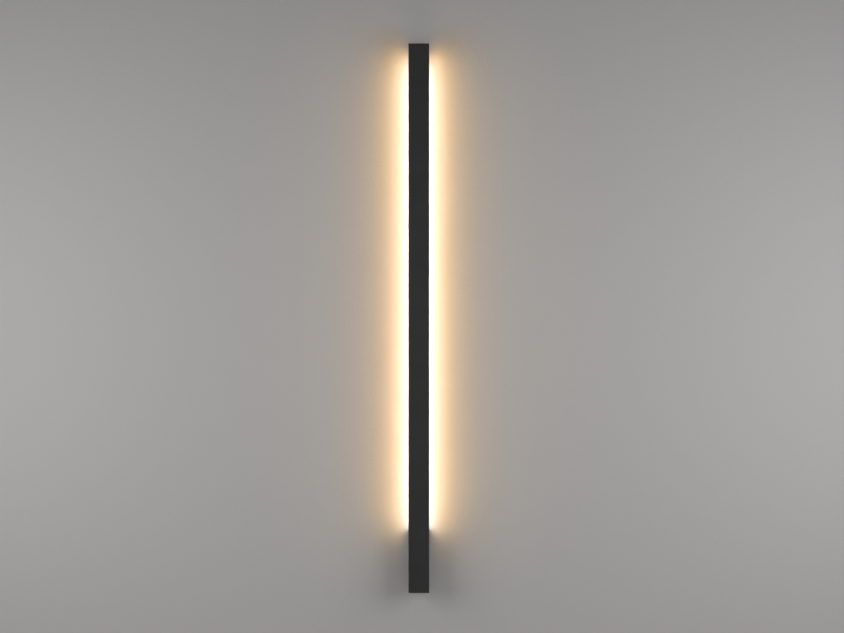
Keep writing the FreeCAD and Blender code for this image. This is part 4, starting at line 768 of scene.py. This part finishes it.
def make_capacitors(settings):
    """Each electrolytic lies along the board: a shrink sleeve curled over a crimped can, an aluminium
    top with three scores a third of a turn apart, and two leads out of its rubber bung that turn down
    into the board."""
    sleeve = moulding("capacitor_sleeve", settings.sleeve, rough=0.22, grain=2 * MM, depth=0.01 * MM,
                      ior=1.57)
    can = rolled_metal("bare_aluminium", settings.can, settings.can_dull, rough=0.25)
    rubber = moulding("bung_rubber", settings.bung, rough=0.7, grain=0.4 * MM, depth=0.01 * MM, ior=1.52)
    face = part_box("driver_circuit_board")[0].y
    # Profiles, as shares of the can's radius and of its length from the bung's end.
    sleeved = [(0.80, 0.02), (0.93, 0.0), (0.99, 0.02), (1.0, 0.05), (1.0, 0.11), (0.975, 0.125),
               (0.94, 0.14), (0.94, 0.16), (0.975, 0.175), (1.0, 0.19), (1.0, 0.94), (0.98, 0.97),
               (0.93, 0.99), (0.88, 1.0), (0.84, 0.995), (0.82, 0.98)]
    topped = [(0.84, 0.95), (0.84, 0.985), (0.78, 0.985), (0.5, 0.985), (0.22, 0.985), (0.03, 0.985)]
    plugged = [(0.3, 0.01), (0.78, 0.01), (0.82, 0.05)]
    third, score_half, score_deep, score_ring = 2 * np.pi / 3, 0.08, 0.15 * MM, 3
    lead, lead_aside = settings.lead, 0.4
    shapes = []
    for low, high in solids("driver_capacitors"):
        radius, long = (high[0] - low[0]) / 2, high[2] - low[2]
        foot = np.array([(low[0] + high[0]) / 2, (low[1] + high[1]) / 2, low[2]])
        shapes.append(skin(turned([(radius * r, long * h) for r, h in sleeved], 40) + foot))
        top = turned([(radius * r, long * h) for r, h in topped], 48)
        spoke = np.linspace(0, 2 * np.pi, top.shape[1], endpoint=False)
        scored = np.abs((spoke + third / 2) % third - third / 2) < score_half
        top[score_ring:, :, 2] -= np.where(scored, score_deep, 0)
        shapes.append(skin(top + foot, 1))
        shapes.append(skin(turned([(radius * r, long * h) for r, h in plugged], 24) + foot, 2))
        for side in (-1, 1):
            start = foot + (side * radius * lead_aside, 0, 0.02 * long)
            wire = bent_wire((0, 0, 0), settings.lead_out, face - foot[1], 2 * lead, lead)
            shapes.append(skin(placed(wire, DOWN_TO_BOARD, start), 1))
    piece("electrolytics", shapes, [sleeve, can, rubber], "lamp",
          ["driver_capacitors"])


def make_choke(settings):
    """A drum of ferrite stands on the board, with enamelled wire wound between its flanges."""
    low, high = (np.array(corner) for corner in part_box("driver_filter_choke"))
    radius, tall = (high[0] - low[0]) / 2, high[1] - low[1]
    foot = np.array([(low[0] + high[0]) / 2, high[1], (low[2] + high[2]) / 2])
    wire, flange, pitch = settings.choke_wire, 0.12 * tall, 2.05 * settings.choke_wire
    # The drum's profile, as shares of its radius and height: two flanges and a neck.
    drum = [(0.9, 0), (1, 0.01), (1, 0.11), (0.97, 0.12), (0.55, 0.12), (0.53, 0.13), (0.53, 0.87),
            (0.55, 0.88), (0.97, 0.88), (1, 0.89), (1, 0.99), (0.97, 1), (0.3, 1), (0.25, 0.99)]
    full = radius * 0.8
    inner = [(full, flange), (full, tall - flange)]
    turns = int((tall - 2 * flange - 2 * wire) / pitch)
    coil = wound(full + wire * 0.8, wire, flange + wire, tall - flange - wire, turns)
    shapes = [skin(placed(turned([(radius * r, tall * h) for r, h in drum]), TO_ROOM, foot)),
              skin(placed(turned(inner), TO_ROOM, foot), 1), skin(placed(coil, TO_ROOM, foot), 1)]
    enamel = moulding("enamelled_wire", settings.enamel, rough=0.2, grain=0.6 * MM, depth=0.004 * MM,
                      ior=1.6, shade=0.7)
    piece("drum_choke", shapes, [sintered_ferrite(settings), enamel], "lamp",
          ["driver_filter_choke"], sharp=30.0)


def make_winding(settings):
    """A coil in yellow tape on a bobbin with two flanges, round the core's middle leg: the section's
    points run from the hollow (0) to the outside (1), and each is carried round both rectangles."""
    low, high = (np.array(corner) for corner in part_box("driver_transformer_winding"))
    middle, half = (low + high) / 2, (high - low) / 2
    outer_corner, inner_corner = 1.6 * MM, 0.3 * MM
    outside = rounded_plan(half[0], half[1], outer_corner, 4)
    inside = rounded_plan(settings.core_leg / 2, half[1] - settings.core_cover, inner_corner, 4)
    section = [(0, -1), (1, -1), (1, -0.9), (0.95, -0.88), (0.96, -0.5), (0.965, 0), (0.96, 0.5),
               (0.95, 0.88), (1, 0.9), (1, 1), (0, 1)]
    out, height = np.array(section).T[:, :, None, None]
    plan = inside + out * (outside - inside)
    rings = np.concatenate([plan, np.broadcast_to(height * half[2], plan.shape[:2] + (1,))], -1)
    piece("taped_winding", [skin(rings + middle, looped=True)], [wound_tape(settings)], "lamp",
          ["driver_transformer_winding"])


def make_chips(settings):
    """Each moulded part has a body whose sides lean in from its mould line, and tinned leads along both
    long sides, bent out, down and out again on the board."""
    epoxy = moulding("moulded_epoxy", settings.chip, rough=0.45, grain=0.2 * MM, depth=0.006 * MM,
                     ior=1.55)
    tin = rolled_metal("tinned_leads", settings.lead_tin, settings.lead_dull, rough=0.28)
    stand_off, foot_edge, top_edge, corner = 0.1 * MM, 0.05 * MM, 0.06 * MM, 0.15 * MM
    reach_share, lean_share = 0.74, 0.06
    lead_wide, lead_thick = 0.4 * MM, 0.15 * MM
    shapes = []
    for low, high in solids("driver_small_parts"):
        half_x, half_z, tall = (high[0] - low[0]) / 2, (high[2] - low[2]) / 2, high[1] - low[1]
        foot = np.array([(low[0] + high[0]) / 2, high[1], (low[2] + high[2]) / 2])
        reach, lean = half_x * reach_share, tall * lean_share
        levels = [(lean + foot_edge, stand_off), (lean, stand_off + foot_edge), (0, tall * 0.5),
                  (lean, tall - top_edge), (lean + top_edge, tall)]
        shapes.append(skin(placed(stack(reach, half_z, corner, levels), TO_ROOM, foot)))
        count = max(2, round(2 * half_z / settings.lead_pitch) - 1)
        for side in (-1, 1):
            path = np.array([(reach * 0.9, tall * 0.5), (reach + 0.2 * MM, tall * 0.5),
                             (half_x * 0.87, tall * 0.42), (half_x * 0.9, 0.3 * MM),
                             (half_x * 0.93, 0.12 * MM), (half_x, 0.1 * MM)]) * (side, 1)
            for k in range(count):
                across = (k - (count - 1) / 2) * settings.lead_pitch
                shapes.append(skin(placed(strip(path, lead_wide, lead_thick, across), TO_ROOM, foot), 1))
    piece("moulded_parts", shapes, [epoxy, tin], "lamp", ["driver_small_parts"])


class WALLLIGHT_OT_driver(bpy.types.Operator):
    """Finishes what is inside the LED driver"""
    bl_idname = "wall_light.driver"
    bl_label = "LED driver"

    def execute(self, context):
        settings = context.scene.wall_light_driver
        dress(lacquered_board("green_circuit_board", settings.board, settings.track,
                              settings.track_wide, settings.track_longer, rough=0.3),
              "driver_circuit_board")
        dress(sintered_ferrite(settings), "driver_transformer_core")
        make_capacitors(settings)
        make_choke(settings)
        make_winding(settings)
        make_chips(settings)
        return {"FINISHED"}


# ---- Stage -----------------------------------------------------------------------------------

def flat_sheet(name, corners, finish):
    """A flat four-cornered backdrop that isn't part of the light."""
    mesh = bpy.data.meshes.new(name)
    mesh.from_pydata(corners, [], [(0, 1, 2, 3)])
    mesh.materials.append(finish)
    made = bpy.data.objects.new(name, mesh)
    bpy.context.scene.collection.objects.link(made)


def one_sided(tree, shader, gap):
    """Shows a backdrop from its front alone, and lets the lamps behind it shine through, so that the
    light's back can be seen and is lit. What is nearer to it than a gap sees through it too."""
    side = add_node(tree, "ShaderNodeNewGeometry").outputs["Backfacing"]
    ray = add_node(tree, "ShaderNodeLightPath").outputs
    close = add_node(tree, "ShaderNodeMath", {0: ray["Ray Length"], 1: gap}, operation="LESS_THAN").outputs[0]
    passed = add_node(tree, "ShaderNodeMath", {0: close, 1: ray["Is Shadow Ray"]}, operation="MAXIMUM")
    away = add_node(tree, "ShaderNodeMath", {0: side, 1: passed.outputs[0]}, operation="MAXIMUM")
    clear = add_node(tree, "ShaderNodeBsdfTransparent").outputs[0]
    mix = add_node(tree, "ShaderNodeMixShader", {0: away.outputs[0], 1: shader.outputs["BSDF"], 2: clear})
    output = next(node for node in tree.nodes if node.type == "OUTPUT_MATERIAL")
    tree.links.new(mix.outputs[0], output.inputs["Surface"])


def painted_wall(settings):
    """Emulsion paint rolled on plaster: matt, with a soft stipple that light along the wall picks out."""
    material, tree, shader, place = new_finish("painted_wall", Roughness=0.9, Specular_IOR_Level=0.2,
                                               Base_Color=settings.wall)
    stipple = add_node(tree, "ShaderNodeTexNoise", {"Vector": place, "Scale": 1 / settings.stipple,
                                                    "Detail": 2.0})
    relief = add_node(tree, "ShaderNodeBump", {"Height": stipple.outputs["Fac"], "Strength": 1.0,
                                               "Distance": settings.stipple_deep})
    tree.links.new(relief.outputs["Normal"], shader.inputs["Normal"])
    one_sided(tree, shader, settings.clear_gap)
    return material


def pale_floor(tone):
    """A plain pale floor."""
    return new_finish("pale_floor", Roughness=0.7, Specular_IOR_Level=0.3, Base_Color=tone)[0]


class WALLLIGHT_OT_stage(bpy.types.Operator):
    """Puts up the wall, the floor, the soft lamps and the camera"""
    bl_idname = "wall_light.stage"
    bl_label = "Wall, floor, lamps and camera"

    def execute(self, context):
        settings = context.scene.wall_light_stage
        scene = context.scene
        reach, ground = settings.reach, CAD_LOW.z - settings.floor_below
        top = CAD_HIGH.z + reach / 2
        wall_y = CAD_HIGH.y
        flat_sheet("wall", [(-reach, wall_y, ground), (reach, wall_y, ground), (reach, wall_y, top),
                            (-reach, wall_y, top)], painted_wall(settings))
        flat_sheet("floor", [(-reach, -reach, ground), (reach, -reach, ground), (reach, reach, ground),
                             (-reach, reach, ground)], pale_floor(settings.floor))
        scene.world = bpy.data.worlds.new("surroundings")
        scene.world.use_nodes = True
        tree = scene.world.node_tree
        tree.nodes.clear()
        sky = add_node(tree, "ShaderNodeBackground", {"Color": (1, 1, 1, 1), "Strength": settings.around})
        add_node(tree, "ShaderNodeOutputWorld", {"Surface": sky.outputs[0]})

        middle = (CAD_LOW.z + CAD_HIGH.z) / 2
        aside, ahead, size = settings.softbox_aside, settings.softbox_ahead, settings.softbox
        for side, depth, watts in ((-1, -1, settings.left), (1, -1, settings.right),
                                   (-1, 1, settings.behind), (1, 1, settings.behind)):
            lamp_panel("softbox", (side * aside, depth * ahead, middle), (-side * aside, -depth * ahead),
                       size, size, watts)
        scale = (CAD_HIGH.z - CAD_LOW.z) / BAR_TALL
        across = scale * (PHOTO_WIDE / 2 - BAR_MIDDLE_X)
        up = middle + scale * (BAR_MIDDLE_Y - PHOTO_TALL / 2)
        camera = bpy.data.cameras.new("camera")
        camera.lens = settings.lens
        away = scale * PHOTO_WIDE * camera.lens / camera.sensor_width
        made = bpy.data.objects.new("camera", camera)
        made.location = (across, CAD_LOW.y - away, up)
        made.rotation_euler = (math.radians(90), 0, 0)
        scene.collection.objects.link(made)
        scene.camera = made
        scene.view_settings.view_transform = "Standard"
        return {"FINISHED"}


# ---- The add-on ------------------------------------------------------------------------------

SETTINGS = {
    "wall_light_shell": ShellSettings,
    "wall_light_glow": GlowSettings,
    "wall_light_metals": MetalSettings,
    "wall_light_mouldings": MouldingSettings,
    "wall_light_wires": WireSettings,
    "wall_light_driver": DriverSettings,
    "wall_light_stage": StageSettings,
}
OPERATORS = (
    WALLLIGHT_OT_shell,
    WALLLIGHT_OT_fixings,
    WALLLIGHT_OT_light_source,
    WALLLIGHT_OT_mouldings,
    WALLLIGHT_OT_terminals,
    WALLLIGHT_OT_wires,
    WALLLIGHT_OT_driver,
    WALLLIGHT_OT_stage,
)


class WALLLIGHT_PT_panel(bpy.types.Panel):
    """Lists the pieces and their values"""
    bl_idname = "WALLLIGHT_PT_panel"
    bl_label = "Wall light"
    bl_space_type = "VIEW_3D"
    bl_region_type = "UI"
    bl_category = "Wall light"

    def draw(self, context):
        for operator in OPERATORS:
            self.layout.operator(operator.bl_idname)
        for name, group in SETTINGS.items():
            box = self.layout.box()
            for field in group.__annotations__:
                box.prop(getattr(context.scene, name), field)


def register():
    for name, group in SETTINGS.items():
        bpy.utils.register_class(group)
        setattr(bpy.types.Scene, name, bpy.props.PointerProperty(type=group))
    for kind in (*OPERATORS, WALLLIGHT_PT_panel):
        bpy.utils.register_class(kind)


def unregister():
    for kind in reversed((*OPERATORS, WALLLIGHT_PT_panel)):
        bpy.utils.unregister_class(kind)
    for name, group in reversed(SETTINGS.items()):
        delattr(bpy.types.Scene, name)
        bpy.utils.unregister_class(group)


def main():
    """Makes every piece, the finishes and the stage."""
    register()
    bpy.ops.wall_light.shell()
    bpy.ops.wall_light.fixings()
    bpy.ops.wall_light.light_source()
    bpy.ops.wall_light.mouldings()
    bpy.ops.wall_light.terminals()
    bpy.ops.wall_light.wires()
    bpy.ops.wall_light.driver()
    bpy.ops.wall_light.stage()


if __name__ == "__main__":
    main()
